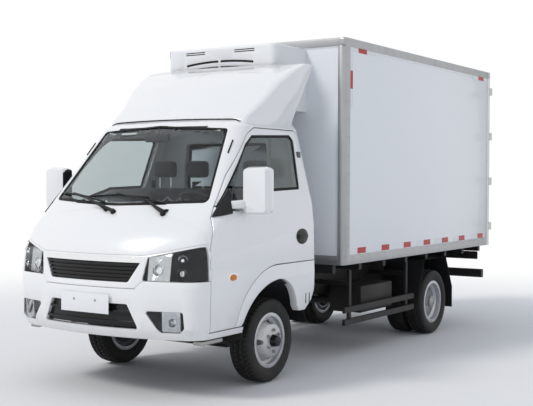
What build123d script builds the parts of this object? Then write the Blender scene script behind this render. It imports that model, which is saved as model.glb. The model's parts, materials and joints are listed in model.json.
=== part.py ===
from build123d import *
from math import cos, radians, sin, sqrt
import os

# Light refrigerated truck: a short cab over the front axle and an insulated cargo box.
# Millimetres. +Z up, -Y is the front, +X is the driver's side (left-hand drive).
# The origin is on the ground, midway along and across the truck.

# Driving dimensions of the whole truck
wheelbase = 2950
front_overhang = 1172
tyre_radius = 320
tyre_width = 185
cab_half_width = 872
cab_bottom_z = 440
cab_height = 1590
cab_rear_reach = 575
cab_to_box_gap = 341
cab_wall = 60
cab_front_radius = 2200
cab_corner_radius = 180
cab_rear_corner_radius = 66
box_half_width = 920
box_length = 3300
lock_rod_radius = 13
lock_rod_standoff = 30
overrun = 30
touch = 0.3

# Places that follow from them
rear_reach = cab_rear_reach + cab_to_box_gap + box_length + lock_rod_standoff + lock_rod_radius
front_axle_y = front_overhang - (front_overhang + rear_reach) / 2
cab_rear_y = front_axle_y + cab_rear_reach
cab_top_z = cab_bottom_z + cab_height

os.makedirs("parts", exist_ok=True)

# Cab outline at rising heights. Columns, as shares of the cab's height, of its half width,
# of the front overhang and of the corner radius: height, half width, nose, corner.
cab_section_shares = [
    (0.000, 0.969, 0.951, 0.94),
    (0.050, 0.991, 0.994, 1.00),
    (0.226, 0.998, 1.000, 1.00),
    (0.358, 0.993, 0.974, 0.97),
    (0.465, 0.989, 0.883, 0.92),
    (0.569, 0.970, 0.736, 0.78),
    (0.943, 0.794, 0.303, 0.67),
    (0.981, 0.734, 0.205, 0.61),
    (1.000, 0.642, 0.102, 0.56),
]


def save(piece, label):
    """Labels one sub-part and writes it under its node name."""
    piece.part.label = label
    export_step(piece.part, f"parts/{label}.step")


def cab_section(shares, inset):
    """One level outline of the cab, taken in by an even amount: lines and tangent arcs."""
    height_share, width_share, nose_share, corner_share = shares
    half = width_share * cab_half_width - inset
    nose_y = front_axle_y - nose_share * front_overhang + inset
    front_radius = cab_front_radius - inset
    corner = corner_share * cab_corner_radius - inset
    rear_corner = cab_rear_corner_radius - inset
    rear = cab_rear_y - inset
    centre_y = nose_y + front_radius
    corner_y = centre_y - sqrt((front_radius - corner) ** 2 - (half - corner) ** 2)
    reach = front_radius / (front_radius - corner)
    meet_x = (half - corner) * reach
    meet_y = centre_y + (corner_y - centre_y) * reach
    with BuildSketch(Plane.XY.offset(cab_bottom_z + height_share * cab_height)) as level:
        with BuildLine():
            ThreePointArc((-meet_x, meet_y), (0, nose_y), (meet_x, meet_y))
            RadiusArc((meet_x, meet_y), (half, corner_y), -corner)
            Line((half, corner_y), (half, rear - rear_corner))
            RadiusArc((half, rear - rear_corner), (half - rear_corner, rear), -rear_corner)
            Line((half - rear_corner, rear), (rear_corner - half, rear))
            RadiusArc((rear_corner - half, rear), (-half, rear - rear_corner), -rear_corner)
            Line((-half, rear - rear_corner), (-half, corner_y))
            RadiusArc((-half, corner_y), (-meet_x, meet_y), -corner)
        make_face()
    return level.sketch


def cab_form(inset, first=0, last=None, mode=Mode.ADD):
    """Adds the cab's form between two of its outlines to the part in hand, or cuts it away."""
    levels = [cab_section(shares, inset) for shares in cab_section_shares[first:last]]
    loft(levels, ruled=True, mode=mode)


def plate(points, plane, depth, radius=0, both=False, mode=Mode.ADD):
    """Extrudes a closed outline, its corners rounded where a radius is given."""
    with BuildSketch(plane) as face:
        with BuildLine():
            if radius:
                FilletPolyline(*points, radius=radius, close=True)
            else:
                Polyline(*points, close=True)
        make_face()
    extrude(face.sketch, amount=depth, both=both, mode=mode)


def brick(x, y, z, mode=Mode.ADD):
    """A plain box from its lowest and highest x, y and z."""
    with Locations(((x[0] + x[1]) / 2, (y[0] + y[1]) / 2, (z[0] + z[1]) / 2)):
        Box(x[1] - x[0], y[1] - y[0], z[1] - z[0], mode=mode)


def rod(start, end, radius, mode=Mode.ADD):
    """A round bar between two points."""
    run = Vector(*end) - Vector(*start)
    with BuildSketch(Plane(origin=start, z_dir=run.normalized())) as section:
        Circle(radius)
    extrude(section.sketch, amount=run.length, mode=mode)


def save_mirrored(piece, label):
    """Writes the same sub-part for the passenger's side."""
    with BuildPart() as other:
        mirror(piece.part, about=Plane.YZ)
    save(other, label)


def aft(distance):
    """A place along the truck, behind the front axle."""
    return front_axle_y + distance


def side_outline(shares):
    """Side-view points (y, z) from shares of the front overhang and of the cab's height."""
    return [(front_axle_y - ahead * front_overhang, cab_bottom_z + up * cab_height)
            for ahead, up in shares]


def face_outline(shares):
    """Front-view points (x, z) from shares of the cab's half width and of its height."""
    return [(across * cab_half_width, cab_bottom_z + up * cab_height) for across, up in shares]


# Cab forms: the outer skin and what lies inside it at the depths that the panels need
door_skin = 20
door_thickness = 54
glass_inset = 8
glass_thickness = 6
lens_thickness = 4

with BuildPart() as cab_outer:
    cab_form(0)
with BuildPart() as cab_inner:
    cab_form(cab_wall)
with BuildPart() as skin_inner:
    cab_form(door_skin, last=8)
with BuildPart() as door_inner:
    cab_form(door_thickness, last=8)
with BuildPart() as glass_outer:
    cab_form(glass_inset, first=5, last=8)
with BuildPart() as glass_inner:
    cab_form(glass_inset + glass_thickness, first=5, last=8)
with BuildPart() as cab_shell:
    add(cab_outer.part)
    add(cab_inner.part, mode=Mode.SUBTRACT)

# Cab seams. Shares of the front overhang ahead of the axle and of the cab's height
door_gap = 8
door_front_share = 0.730
sill_share = 0.032
screen_base_share = 0.569
roof_seam_share = 0.943
door_arch_radius = 585
rear_seam_share = -0.456
door_top_shares = [(0.730, 0.384), (0.659, 0.520), (0.440, 0.711), (0.165, 0.903), (0.075, 0.934),
                   (-0.410, 0.934), (-0.456, 0.915)]
window_shares = [(0.633, 0.548), (0.213, 0.856), (0.118, 0.900), (-0.345, 0.913), (-0.380, 0.886),
                 (-0.325, 0.643), (0.010, 0.635), (0.427, 0.548)]
window_radius = 24
sill_z = cab_bottom_z + sill_share * cab_height
screen_base_z = cab_bottom_z + screen_base_share * cab_height
roof_seam_z = cab_bottom_z + roof_seam_share * cab_height
door_front_y = front_axle_y - door_front_share * front_overhang
door_rear_y = front_axle_y - rear_seam_share * front_overhang
arch_seam_z = tyre_radius + door_arch_radius
side_plane = Plane.YZ.offset(cab_half_width / 2)
side_depth = cab_half_width


def door_region(grow, mode):
    """The door's side-view outline, grown by a gap, as a solid through the left side."""
    top = side_outline(door_top_shares)
    arch_y = front_axle_y - sqrt(door_arch_radius ** 2 - (sill_z - tyre_radius) ** 2)
    arch_mid = sqrt(0.5) * door_arch_radius
    with BuildSketch(side_plane) as face:
        with BuildLine():
            Polyline((arch_y, sill_z), (door_front_y, sill_z), *top, (door_rear_y, arch_seam_z),
                     (front_axle_y, arch_seam_z))
            ThreePointArc((front_axle_y, arch_seam_z),
                          (front_axle_y - arch_mid, tyre_radius + arch_mid), (arch_y, sill_z))
        make_face()
        if grow:
            offset(amount=grow, kind=Kind.INTERSECTION)
    extrude(face.sketch, amount=side_depth, mode=mode)


# Wheel arch cut: one arc rises from the front to the top, a tighter one falls behind
arch_front_share = 0.427
arch_front_mid_shares = (0.256, 0.154)
arch_peak_share = 0.220
arch_rear_mid_shares = (-0.158, 0.180)
arch_rear_shares = (-0.228, 0.078)
fender_tail_shares = [(-0.256, 0.050), (-0.330, 0.050), (-0.407, 0.092), (-0.470, 0.170)]


def wheel_arch(mode=Mode.SUBTRACT):
    """Cuts the front wheel's arch through the left side."""
    start = side_outline([(arch_front_share, 0)])[0]
    rise = side_outline([arch_front_mid_shares])[0]
    peak = side_outline([(0, arch_peak_share)])[0]
    fall = side_outline([arch_rear_mid_shares])[0]
    end = side_outline([arch_rear_shares])[0]
    tail = side_outline([fender_tail_shares[0]])[0]
    with BuildSketch(side_plane) as face:
        with BuildLine():
            ThreePointArc(start, rise, peak)
            ThreePointArc(peak, fall, end)
            Polyline(end, tail, (tail[0], 0), (start[0], 0), start)
        make_face()
    extrude(face.sketch, amount=side_depth, mode=mode)


# Cab doors: an outer skin and a narrower inner part, with the window cut through both
hinge_inset = 8
hinge_back = 6
hinge_radius = 6
hinge_pin_radius = 3
hinge_height = 60
hinge_room = 2
pin_clearance = 0.05
hinge_shares = (0.284, 0.364)
inner_step = 15
hinge_x = cab_half_width - hinge_inset
hinge_y = door_front_y + hinge_back
hinge_heights = [cab_bottom_z + share * cab_height for share in hinge_shares]

with BuildPart() as door_core:
    add(skin_inner.part)
    add(door_inner.part, mode=Mode.SUBTRACT)
    door_region(-inner_step, Mode.INTERSECT)

with BuildPart() as cab_door_left:
    add(cab_outer.part)
    add(skin_inner.part, mode=Mode.SUBTRACT)
    door_region(0, Mode.INTERSECT)
    add(door_core.part)
    plate(side_outline(window_shares), side_plane, side_depth, window_radius, mode=Mode.SUBTRACT)
    for height in hinge_heights:
        brick((hinge_x - hinge_radius - hinge_room, cab_half_width + overrun),
              (door_front_y - overrun, hinge_y + hinge_radius + hinge_room),
              (height - hinge_height / 2 - hinge_room, height + hinge_height / 2 + hinge_room),
              mode=Mode.SUBTRACT)
        rod((hinge_x, hinge_y, height - hinge_height / 2 - hinge_radius),
            (hinge_x, hinge_y, height + hinge_height / 2 + hinge_radius), hinge_pin_radius)
save(cab_door_left, "cab_door_left")
save_mirrored(cab_door_left, "cab_door_right")

with BuildPart() as door_glass_left:
    add(glass_outer.part)
    add(glass_inner.part, mode=Mode.SUBTRACT)
    plate(side_outline(window_shares), side_plane, side_depth, window_radius, mode=Mode.INTERSECT)
save(door_glass_left, "door_glass_left")
save_mirrored(door_glass_left, "door_glass_right")

# Windscreen and rear window
screen_shares = [(-0.842, 0.588), (0, 0.569), (0.842, 0.588), (0.692, 0.930), (0, 0.948),
                 (-0.692, 0.930)]
rear_window_shares = [(-0.500, 0.640), (0.500, 0.640), (0.470, 0.880), (-0.470, 0.880)]
screen_radius = 30
front_plane = Plane.XZ.offset(-front_axle_y)
rear_plane = Plane.XZ.offset(-cab_rear_y + 2 * cab_wall)


def screen_region(mode):
    """The windscreen's front-view outline as a solid through the cab's front."""
    plate(face_outline(screen_shares), front_plane, front_overhang, screen_radius, mode=mode)


def rear_window_region(mode):
    """The rear window's outline as a solid through the cab's back."""
    plate(face_outline(rear_window_shares), rear_plane, -front_overhang, screen_radius, mode=mode)


with BuildPart() as glass_openings:
    screen_region(Mode.ADD)
    rear_window_region(Mode.ADD)

with BuildPart() as cab_glass:
    add(glass_outer.part)
    add(glass_inner.part, mode=Mode.SUBTRACT)
    add(glass_openings.part, mode=Mode.INTERSECT)
save(cab_glass, "cab_glass")

# Openings in the front for lamps, grille and number plate. Shares of half width and height
lamp_shares = [(0.535, 0.254), (1.100, 0.254), (1.100, 0.404), (0.950, 0.401), (0.572, 0.355)]
grille_shares = [(-0.535, 0.352), (-0.415, 0.245), (0.415, 0.245), (0.535, 0.352)]
fog_shares = [(0.555, 0.126), (0.688, 0.034), (0.840, 0.034), (0.880, 0.055), (0.872, 0.126)]
intake_shares = [(-0.408, 0.151), (-0.507, 0.043), (0.507, 0.043), (0.408, 0.151)]
bumper_top_shares = [(-1.100, 0.254), (-0.540, 0.254), (-0.480, 0.219), (0.480, 0.219),
                     (0.540, 0.254), (1.100, 0.254)]
hood_line_shares = [(-1.100, 0.412), (-0.950, 0.409), (-0.572, 0.364), (-0.535, 0.361),
                    (0.535, 0.361), (0.572, 0.364), (0.950, 0.409), (1.100, 0.412)]
grille_radius = 24
lamp_radius = 16
lamp_rear_share = 0.750
lamp_gap = 2
seam_gap = 4
lamp_rear_y = front_axle_y - lamp_rear_share * front_overhang
lamp_plane = Plane.XZ.offset(-lamp_rear_y)
front_rear_y = door_front_y - door_gap
nose_y = front_axle_y - front_overhang
panel_half = cab_half_width + overrun


def lamp_region(shares, mode, shrink=0):
    """One lamp's outline, taken in by a gap, as a solid forward from the lamp's rear edge."""
    with BuildSketch(lamp_plane) as face:
        with BuildLine():
            FilletPolyline(*face_outline(shares), radius=lamp_radius, close=True)
        make_face()
        if shrink:
            offset(amount=-shrink)
    extrude(face.sketch, amount=front_overhang, mode=mode)


with BuildPart() as panel_openings:
    lamp_region(lamp_shares, Mode.ADD)
    mirror(about=Plane.YZ)
    plate(face_outline(grille_shares), lamp_plane, front_overhang, grille_radius)

with BuildPart() as bumper_openings:
    lamp_region(fog_shares, Mode.ADD)
    mirror(about=Plane.YZ)
    plate(face_outline(intake_shares), lamp_plane, front_overhang, lamp_radius)

with BuildPart() as door_knuckles:
    for height in hinge_heights:
        rod((hinge_x, hinge_y, height - hinge_height / 2),
            (hinge_x, hinge_y, height + hinge_height / 2), hinge_radius)
        brick((hinge_x - hinge_radius / 2, hinge_x + hinge_radius / 2),
              (front_rear_y - hinge_radius, hinge_y),
              (height - hinge_height / 2, height + hinge_height / 2))
        rod((hinge_x, hinge_y, height - hinge_height),
            (hinge_x, hinge_y, height + hinge_height),
            hinge_pin_radius + pin_clearance, mode=Mode.SUBTRACT)
    mirror(about=Plane.YZ)

# The hood's line runs over grille and lamps as a groove; the panel's foot follows the bumper
groove_depth = 6
bumper_top = face_outline(bumper_top_shares)
hood_line = face_outline(hood_line_shares)

with BuildPart() as hood_groove:
    add(cab_outer.part)
    cab_form(groove_depth, first=2, last=6, mode=Mode.SUBTRACT)
    plate(hood_line + [(x, z + seam_gap) for x, z in reversed(hood_line)], front_plane,
          front_overhang + overrun, mode=Mode.INTERSECT)

with BuildPart() as front_panel:
    add(cab_shell.part)
    plate([(x, z + seam_gap / 2) for x, z in bumper_top]
          + [(panel_half, screen_base_z), (-panel_half, screen_base_z)], front_plane,
          front_overhang + overrun, mode=Mode.INTERSECT)
    brick((-panel_half, panel_half), (nose_y - overrun, front_rear_y),
          (cab_bottom_z, screen_base_z), mode=Mode.INTERSECT)
    add(panel_openings.part, mode=Mode.SUBTRACT)
    add(hood_groove.part, mode=Mode.SUBTRACT)
    add(door_knuckles.part)
save(front_panel, "front_panel")

# Bumper: the lower front with the sill strips that run back under the doors
sill_reach_share = 0.384
sill_rear_y = front_axle_y - sill_reach_share * front_overhang
sill_top_z = sill_z - door_gap

with BuildPart() as bumper_region:
    plate([(x, z - seam_gap / 2) for x, z in bumper_top]
          + [(panel_half, cab_bottom_z), (-panel_half, cab_bottom_z)],
          Plane.XZ.offset(-front_rear_y), front_overhang)
    brick((-panel_half, panel_half), (front_rear_y - overrun, sill_rear_y),
          (cab_bottom_z, sill_top_z))

with BuildPart() as bumper:
    add(cab_shell.part)
    add(bumper_region.part, mode=Mode.INTERSECT)
    add(bumper_openings.part, mode=Mode.SUBTRACT)
save(bumper, "bumper")

# Grille: level slats and a bright top bar before a backing, and a second one in the bumper
slat_count = 5
slat_height = 15
slat_depth = 30
grille_back_thickness = 8
top_bar_height = 34
slat_pitch_share = 0.016
first_slat_share = 0.252
intake_slat_shares = (0.066, 0.112)
grille_top_z = cab_bottom_z + grille_shares[0][1] * cab_height

with BuildPart() as slat_inner:
    cab_form(slat_depth, first=1, last=5)
with BuildPart() as back_inner:
    cab_form(slat_depth + grille_back_thickness, first=1, last=5)
with BuildPart() as grille_inset:
    cab_form(touch + slat_height / 2, first=1, last=5)

with BuildPart() as slat_levels:
    shares = [first_slat_share + index * slat_pitch_share for index in range(slat_count)]
    for share in [*shares, *intake_slat_shares]:
        low = cab_bottom_z + share * cab_height
        brick((-cab_half_width, cab_half_width), (nose_y, front_rear_y), (low, low + slat_height))

with BuildPart() as grille_slats:
    add(grille_inset.part)
    add(slat_inner.part, mode=Mode.SUBTRACT)
    add(slat_levels.part, mode=Mode.INTERSECT)

with BuildPart() as grille_bar:
    add(cab_outer.part)
    add(slat_inner.part, mode=Mode.SUBTRACT)
    brick((-cab_half_width, cab_half_width), (nose_y, front_rear_y),
          (grille_top_z - top_bar_height, grille_top_z), mode=Mode.INTERSECT)

with BuildPart() as grille:
    add(slat_inner.part)
    add(back_inner.part, mode=Mode.SUBTRACT)
    add(grille_slats.part)
    add(grille_bar.part)
    add(panel_openings.part, mode=Mode.INTERSECT)
    brick((-grille_shares[3][0] * cab_half_width, grille_shares[3][0] * cab_half_width),
          (nose_y, front_rear_y), (cab_bottom_z, grille_top_z), mode=Mode.INTERSECT)

with BuildPart() as intake:
    add(slat_inner.part)
    add(back_inner.part, mode=Mode.SUBTRACT)
    add(grille_slats.part)
    plate(face_outline(intake_shares), lamp_plane, front_overhang, lamp_radius,
          mode=Mode.INTERSECT)

with BuildPart() as grille_both:
    add(grille.part)
    add(intake.part)
save(grille_both, "grille")

# Lamps: housings with bowls behind clear lenses
bowl_radius = 66
bowl_depth = 34
lamp_body_depth = 45
main_bowl_shares = (0.665, 0.303)
side_bowl_shares = [(0.850, 0.344), (0.850, 0.290)]
side_bowl_radius = 36
fog_bowl_radius = 42
fog_bowl_shares = (0.785, 0.078)
lens_room = 6

with BuildPart() as lens_inner:
    cab_form(lens_thickness, first=0, last=5)
with BuildPart() as housing_outer:
    cab_form(lens_thickness + lens_room, first=0, last=5)
with BuildPart() as housing_inner:
    cab_form(lens_thickness + lens_room + lamp_body_depth, first=0, last=5)

with BuildPart() as lamp_spaces:
    lamp_region(lamp_shares, Mode.ADD, lamp_gap)
    lamp_region(fog_shares, Mode.ADD, lamp_gap)
    mirror(about=Plane.YZ)


def bowl(centre_shares, radius):
    """Cuts one reflector bowl, widest at the front, into both lamp housings."""
    x, z = face_outline([centre_shares])[0]
    reach = sqrt(cab_front_radius ** 2 - x ** 2) - cab_front_radius
    mouth_y = nose_y - reach + lens_thickness + lens_room
    with BuildSketch(Plane(origin=(x, mouth_y - radius, z), z_dir=(0, 1, 0))) as wide:
        Circle(radius)
    with BuildSketch(Plane(origin=(x, mouth_y + bowl_depth, z), z_dir=(0, 1, 0))) as narrow:
        Circle(radius / 2)
    return loft([wide.sketch, narrow.sketch], mode=Mode.PRIVATE)


lamp_bowls = [bowl(main_bowl_shares, bowl_radius), bowl(fog_bowl_shares, fog_bowl_radius)]
lamp_bowls += [bowl(shares, side_bowl_radius) for shares in side_bowl_shares]

with BuildPart() as front_lamps:
    add(housing_outer.part)
    add(housing_inner.part, mode=Mode.SUBTRACT)
    add(lamp_spaces.part, mode=Mode.INTERSECT)
    for hollow in lamp_bowls:
        add(hollow, mode=Mode.SUBTRACT)
        add(mirror(hollow, about=Plane.YZ, mode=Mode.PRIVATE), mode=Mode.SUBTRACT)
save(front_lamps, "front_lamps")

with BuildPart() as lamp_lenses:
    add(cab_outer.part)
    add(lens_inner.part, mode=Mode.SUBTRACT)
    add(lamp_spaces.part, mode=Mode.INTERSECT)
save(lamp_lenses, "lamp_lenses")

# Cab sides: fenders, door frames and windscreen pillars
side_inner_share = 0.5
rear_split_y = cab_rear_y - cab_wall

with BuildPart() as door_opening:
    door_region(door_gap, Mode.ADD)
    mirror(about=Plane.YZ)

with BuildPart() as tail_cut:
    tail = side_outline(fender_tail_shares)
    plate([*tail, (cab_rear_y + overrun, tail[-1][1]), (cab_rear_y + overrun, 0), (tail[0][0], 0)],
          side_plane, side_depth)
    wheel_arch(Mode.ADD)

with BuildPart() as side_region:
    brick((cab_half_width * side_inner_share, panel_half), (front_rear_y, cab_rear_y + overrun),
          (sill_top_z, roof_seam_z))
    brick((cab_half_width * side_inner_share, panel_half), (nose_y, cab_rear_y + overrun),
          (screen_base_z, roof_seam_z))
    brick((0, cab_half_width - cab_rear_corner_radius), (rear_split_y, cab_rear_y + overrun),
          (sill_top_z, roof_seam_z), mode=Mode.SUBTRACT)
    brick((0, panel_half), (front_rear_y - overrun, sill_rear_y),
          (0, sill_z), mode=Mode.SUBTRACT)

with BuildPart() as cab_side:
    add(cab_shell.part)
    add(side_region.part, mode=Mode.INTERSECT)
    add(door_opening.part, mode=Mode.SUBTRACT)
    add(tail_cut.part, mode=Mode.SUBTRACT)
    screen_region(Mode.SUBTRACT)

with BuildPart() as cab_sides:
    add(cab_side.part)
    mirror(about=Plane.YZ)
save(cab_sides, "cab_sides")

with BuildPart() as cab_roof:
    add(cab_shell.part)
    brick((-panel_half, panel_half), (nose_y, cab_rear_y + overrun),
          (roof_seam_z, cab_top_z + overrun), mode=Mode.INTERSECT)
    screen_region(Mode.SUBTRACT)
save(cab_roof, "cab_roof")

# Cab back: a pressed wall with its window; its lower edge stands on the floor
platform_z = 832
with BuildPart() as cab_rear_panel:
    add(cab_shell.part)
    brick((-cab_half_width + cab_rear_corner_radius, cab_half_width - cab_rear_corner_radius),
          (rear_split_y, cab_rear_y + overrun), (platform_z, roof_seam_z), mode=Mode.INTERSECT)
    add(door_opening.part, mode=Mode.SUBTRACT)
    rear_window_region(Mode.SUBTRACT)
save(cab_rear_panel, "cab_rear_panel")

# Cab floor: foot well, riser and seat platform in one pressing
floor_thickness = 30
foot_floor_z = 668
riser_reach = 430
floor_front_share = 0.900

with BuildPart() as cab_floor:
    add(cab_inner.part)
    front = front_axle_y - floor_front_share * front_overhang
    riser = aft(-riser_reach)
    plate([(front, foot_floor_z), (riser + floor_thickness, foot_floor_z),
           (riser + floor_thickness, platform_z - floor_thickness),
           (cab_rear_y, platform_z - floor_thickness), (cab_rear_y, platform_z),
           (riser, platform_z), (riser, foot_floor_z + floor_thickness),
           (front, foot_floor_z + floor_thickness)],
          Plane.YZ, cab_half_width, both=True, mode=Mode.INTERSECT)
save(cab_floor, "cab_floor")

# Seats: a driver's seat and a double seat, cushions on the platform and backs behind them
cushion_height = 130
cushion_front_reach = 330
cushion_length = 520
back_thickness = 120
back_top_z = 1500
back_rake = 90
driver_half_width = 235
driver_x = 420
bench_half_width = 340
bench_x = -330
headrest_half_width = 125
headrest_low_z = 1540
headrest_top_z = 1705
headrest_thickness = 90
headrest_post_radius = 7
headrest_post_spacing = 120
cushion_radius = 30
seat_front_y = aft(-cushion_front_reach)
seat_back_y = seat_front_y + cushion_length


def seat(centre_x, half_width, headrests):
    """One seat: cushion, leaning back and its headrests on two posts each."""
    low_x = centre_x - half_width
    cushion = [(seat_front_y, platform_z), (seat_back_y, platform_z),
               (seat_back_y, platform_z + cushion_height),
               (seat_front_y, platform_z + cushion_height)]
    back = [(seat_back_y, platform_z), (seat_back_y + back_thickness, platform_z),
            (seat_back_y + back_thickness + back_rake, back_top_z),
            (seat_back_y + back_rake, back_top_z)]
    plate(cushion, Plane.YZ.offset(low_x), 2 * half_width, cushion_radius)
    plate(back, Plane.YZ.offset(low_x), 2 * half_width, cushion_radius)
    brick((low_x, low_x + 2 * half_width), (seat_back_y - cushion_radius, seat_back_y + cushion_radius),
          (platform_z, platform_z + cushion_height - cushion_radius))
    middle_y = seat_back_y + back_rake + back_thickness / 2
    for rest_x in headrests:
        plate([(middle_y - headrest_thickness / 2, headrest_low_z),
               (middle_y + headrest_thickness / 2, headrest_low_z),
               (middle_y + headrest_thickness / 2, headrest_top_z),
               (middle_y - headrest_thickness / 2, headrest_top_z)],
              Plane.YZ.offset(rest_x - headrest_half_width), 2 * headrest_half_width,
              cushion_radius)
        for side in (-1, 1):
            post_x = rest_x + side * headrest_post_spacing / 2
            rod((post_x, middle_y, back_top_z - headrest_post_spacing),
                (post_x, middle_y, headrest_low_z + headrest_thickness), headrest_post_radius)


with BuildPart() as seats:
    seat(driver_x, driver_half_width, [driver_x])
    seat(bench_x, bench_half_width, [bench_x - bench_half_width / 2, bench_x + bench_half_width / 2])
save(seats, "seats")

# Dashboard with the steering column
dash_top_z = 1240
dash_rear_reach = 560
dash_low_z = 930
dash_foot_reach = 700
dash_radius = 40
dash_roll_share = 0.78
wheel_x = 380
wheel_reach = 310
wheel_z = 1330
wheel_rim_radius = 195
wheel_grip_radius = 14
wheel_hub_radius = 60
wheel_hub_depth = 50
wheel_hub_taper = 10
column_angle = 38
column_radius = 26
column_length = 330
column_gap = 1
spoke_width = 34
spoke_depth = 16

with BuildPart() as dash_limit:
    cab_form(cab_wall, first=3, last=7)

column_plane = Plane(origin=(wheel_x, aft(-wheel_reach), wheel_z), x_dir=(1, 0, 0),
                     z_dir=(0, sin(radians(column_angle)), cos(radians(column_angle))))

with BuildPart() as dashboard:
    add(dash_limit.part)
    front = nose_y
    rear = aft(-dash_rear_reach)
    foot = aft(-dash_foot_reach)
    roll_z = dash_low_z + dash_roll_share * (dash_top_z - dash_low_z)
    plate([(front, dash_low_z), (foot, dash_low_z), (rear, roll_z), (rear - dash_radius, dash_top_z),
           (front, dash_top_z)], Plane.YZ, cab_half_width, both=True, mode=Mode.INTERSECT)
    with BuildSketch(column_plane.offset(-wheel_hub_depth - column_gap)) as column:
        Circle(column_radius)
    extrude(column.sketch, amount=-column_length)
save(dashboard, "dashboard")

with BuildPart() as steering_wheel:
    with BuildSketch(column_plane * Plane.XZ) as grip:
        with Locations((wheel_rim_radius - wheel_grip_radius, 0)):
            Circle(wheel_grip_radius)
    revolve(grip.sketch, axis=Axis(column_plane.origin, column_plane.z_dir))
    with BuildSketch(column_plane.offset(-wheel_hub_depth)) as boss:
        Circle(wheel_hub_radius)
    extrude(boss.sketch, amount=wheel_hub_depth, taper=wheel_hub_taper)
    spoke_reach = wheel_rim_radius - wheel_grip_radius
    with BuildSketch(column_plane.offset(-spoke_depth)) as spokes:
        Rectangle(2 * spoke_reach, spoke_width)
        with Locations((0, -spoke_reach / 2)):
            Rectangle(spoke_width, spoke_reach)
    extrude(spokes.sketch, amount=spoke_depth)
save(steering_wheel, "steering_wheel")

# Wipers: two arms with blades lying along the foot of the windscreen
wiper_pivot_shares = (0.538, -0.058)
wiper_pivot_z = 1318
blade_low_z = 1372
wiper_pivot_radius = 11
wiper_pivot_height = 26
blade_length = 470
blade_rise = 60
blade_lift = 14
blade_radius = 6
heel_share = 0.125
arm_radius = 5


def front_point(x, z, lift):
    """A point on the cab's front slope, lifted off it by a small height."""
    for low, high in zip(cab_section_shares, cab_section_shares[1:]):
        low_z = cab_bottom_z + low[0] * cab_height
        high_z = cab_bottom_z + high[0] * cab_height
        if low_z <= z <= high_z:
            part = (z - low_z) / (high_z - low_z)
            nose = front_axle_y - front_overhang * (low[2] + part * (high[2] - low[2]))
    return (x, nose + cab_front_radius - sqrt(cab_front_radius ** 2 - x ** 2) - lift, z)


with BuildPart() as wipers:
    for share in wiper_pivot_shares:
        pivot_x = share * cab_half_width
        foot = front_point(pivot_x, wiper_pivot_z, -wiper_pivot_radius)
        head = front_point(pivot_x, wiper_pivot_z, wiper_pivot_height)
        tip = front_point(pivot_x - blade_length, blade_low_z + blade_rise, blade_lift)
        heel = front_point(pivot_x - heel_share * blade_length, blade_low_z, blade_lift)
        middle = tuple((a + b) / 2 for a, b in zip(tip, heel))
        rod(foot, head, wiper_pivot_radius)
        rod(heel, tip, blade_radius)
        rod(head, middle, arm_radius)
    add(cab_outer.part, mode=Mode.SUBTRACT)
save(wipers, "wipers")

# Mirrors: a rounded head on an arm from a plate in the window's front corner
mirror_inner_x = 868
mirror_outer_x = 1085
mirror_low_z = 1292
mirror_high_z = 1630
mirror_reach = 450
mirror_depth = 95
mirror_radius = 40
mirror_front_taper = 18
mirror_rear_taper = 6
arm_z = 1362
arm_reach = 620
arm_thickness = 16
arm_root_x = 800
base_shares = [(0.655, 0.528), (0.633, 0.545), (0.480, 0.650), (0.500, 0.540)]
base_depth = 16

with BuildPart() as mirror_base:
    cab_form(-base_depth / 2, first=4, last=7)
    add(cab_outer.part, mode=Mode.SUBTRACT)
    plate(side_outline(base_shares), side_plane, side_depth, mode=Mode.INTERSECT)

with BuildPart() as mirror_left:
    head_y = aft(-mirror_reach)
    with BuildSketch(Plane.XZ.offset(-head_y)) as face:
        with BuildLine():
            FilletPolyline((mirror_inner_x, mirror_low_z), (mirror_outer_x, mirror_low_z),
                           (mirror_outer_x, mirror_high_z), (mirror_inner_x, mirror_high_z),
                           radius=mirror_radius, close=True)
        make_face()
    extrude(face.sketch, amount=mirror_depth / 2, taper=mirror_front_taper)
    extrude(face.sketch, amount=-mirror_depth / 2, taper=mirror_rear_taper)
    rod((arm_root_x, aft(-arm_reach), arm_z), (mirror_inner_x + mirror_radius, head_y, arm_z),
        arm_thickness)
    add(cab_outer.part, mode=Mode.SUBTRACT)
    add(mirror_base.part)
save(mirror_left, "mirror_left")
save_mirrored(mirror_left, "mirror_right")

# Door handles: an oval plate and a grip bar that bridges its middle
handle_y_share = -0.292
handle_z_share = 0.413
handle_length = 168
handle_height = 120
handle_plate_proud = 5
grip_proud = 18
grip_height = 34

with BuildPart() as handle_skin:
    cab_form(-handle_plate_proud, first=3, last=6)
    add(cab_outer.part, mode=Mode.SUBTRACT)
with BuildPart() as grip_skin:
    cab_form(-grip_proud, first=3, last=6)
    add(cab_outer.part, mode=Mode.SUBTRACT)
handle_spot = side_outline([(handle_y_share, handle_z_share)])[0]

with BuildPart() as handle_plate:
    add(handle_skin.part)
    with BuildSketch(side_plane) as oval:
        with Locations(handle_spot):
            Ellipse(handle_length / 2, handle_height / 2)
    extrude(oval.sketch, amount=side_depth, mode=Mode.INTERSECT)

with BuildPart() as handle_grip:
    add(grip_skin.part)
    with BuildSketch(side_plane) as bar:
        with Locations(handle_spot):
            SlotOverall(handle_length - grip_height, grip_height)
    extrude(bar.sketch, amount=side_depth, mode=Mode.INTERSECT)

with BuildPart() as door_handle_left:
    add(handle_plate.part)
    add(handle_grip.part)
save(door_handle_left, "door_handle_left")
save_mirrored(door_handle_left, "door_handle_right")

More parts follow.
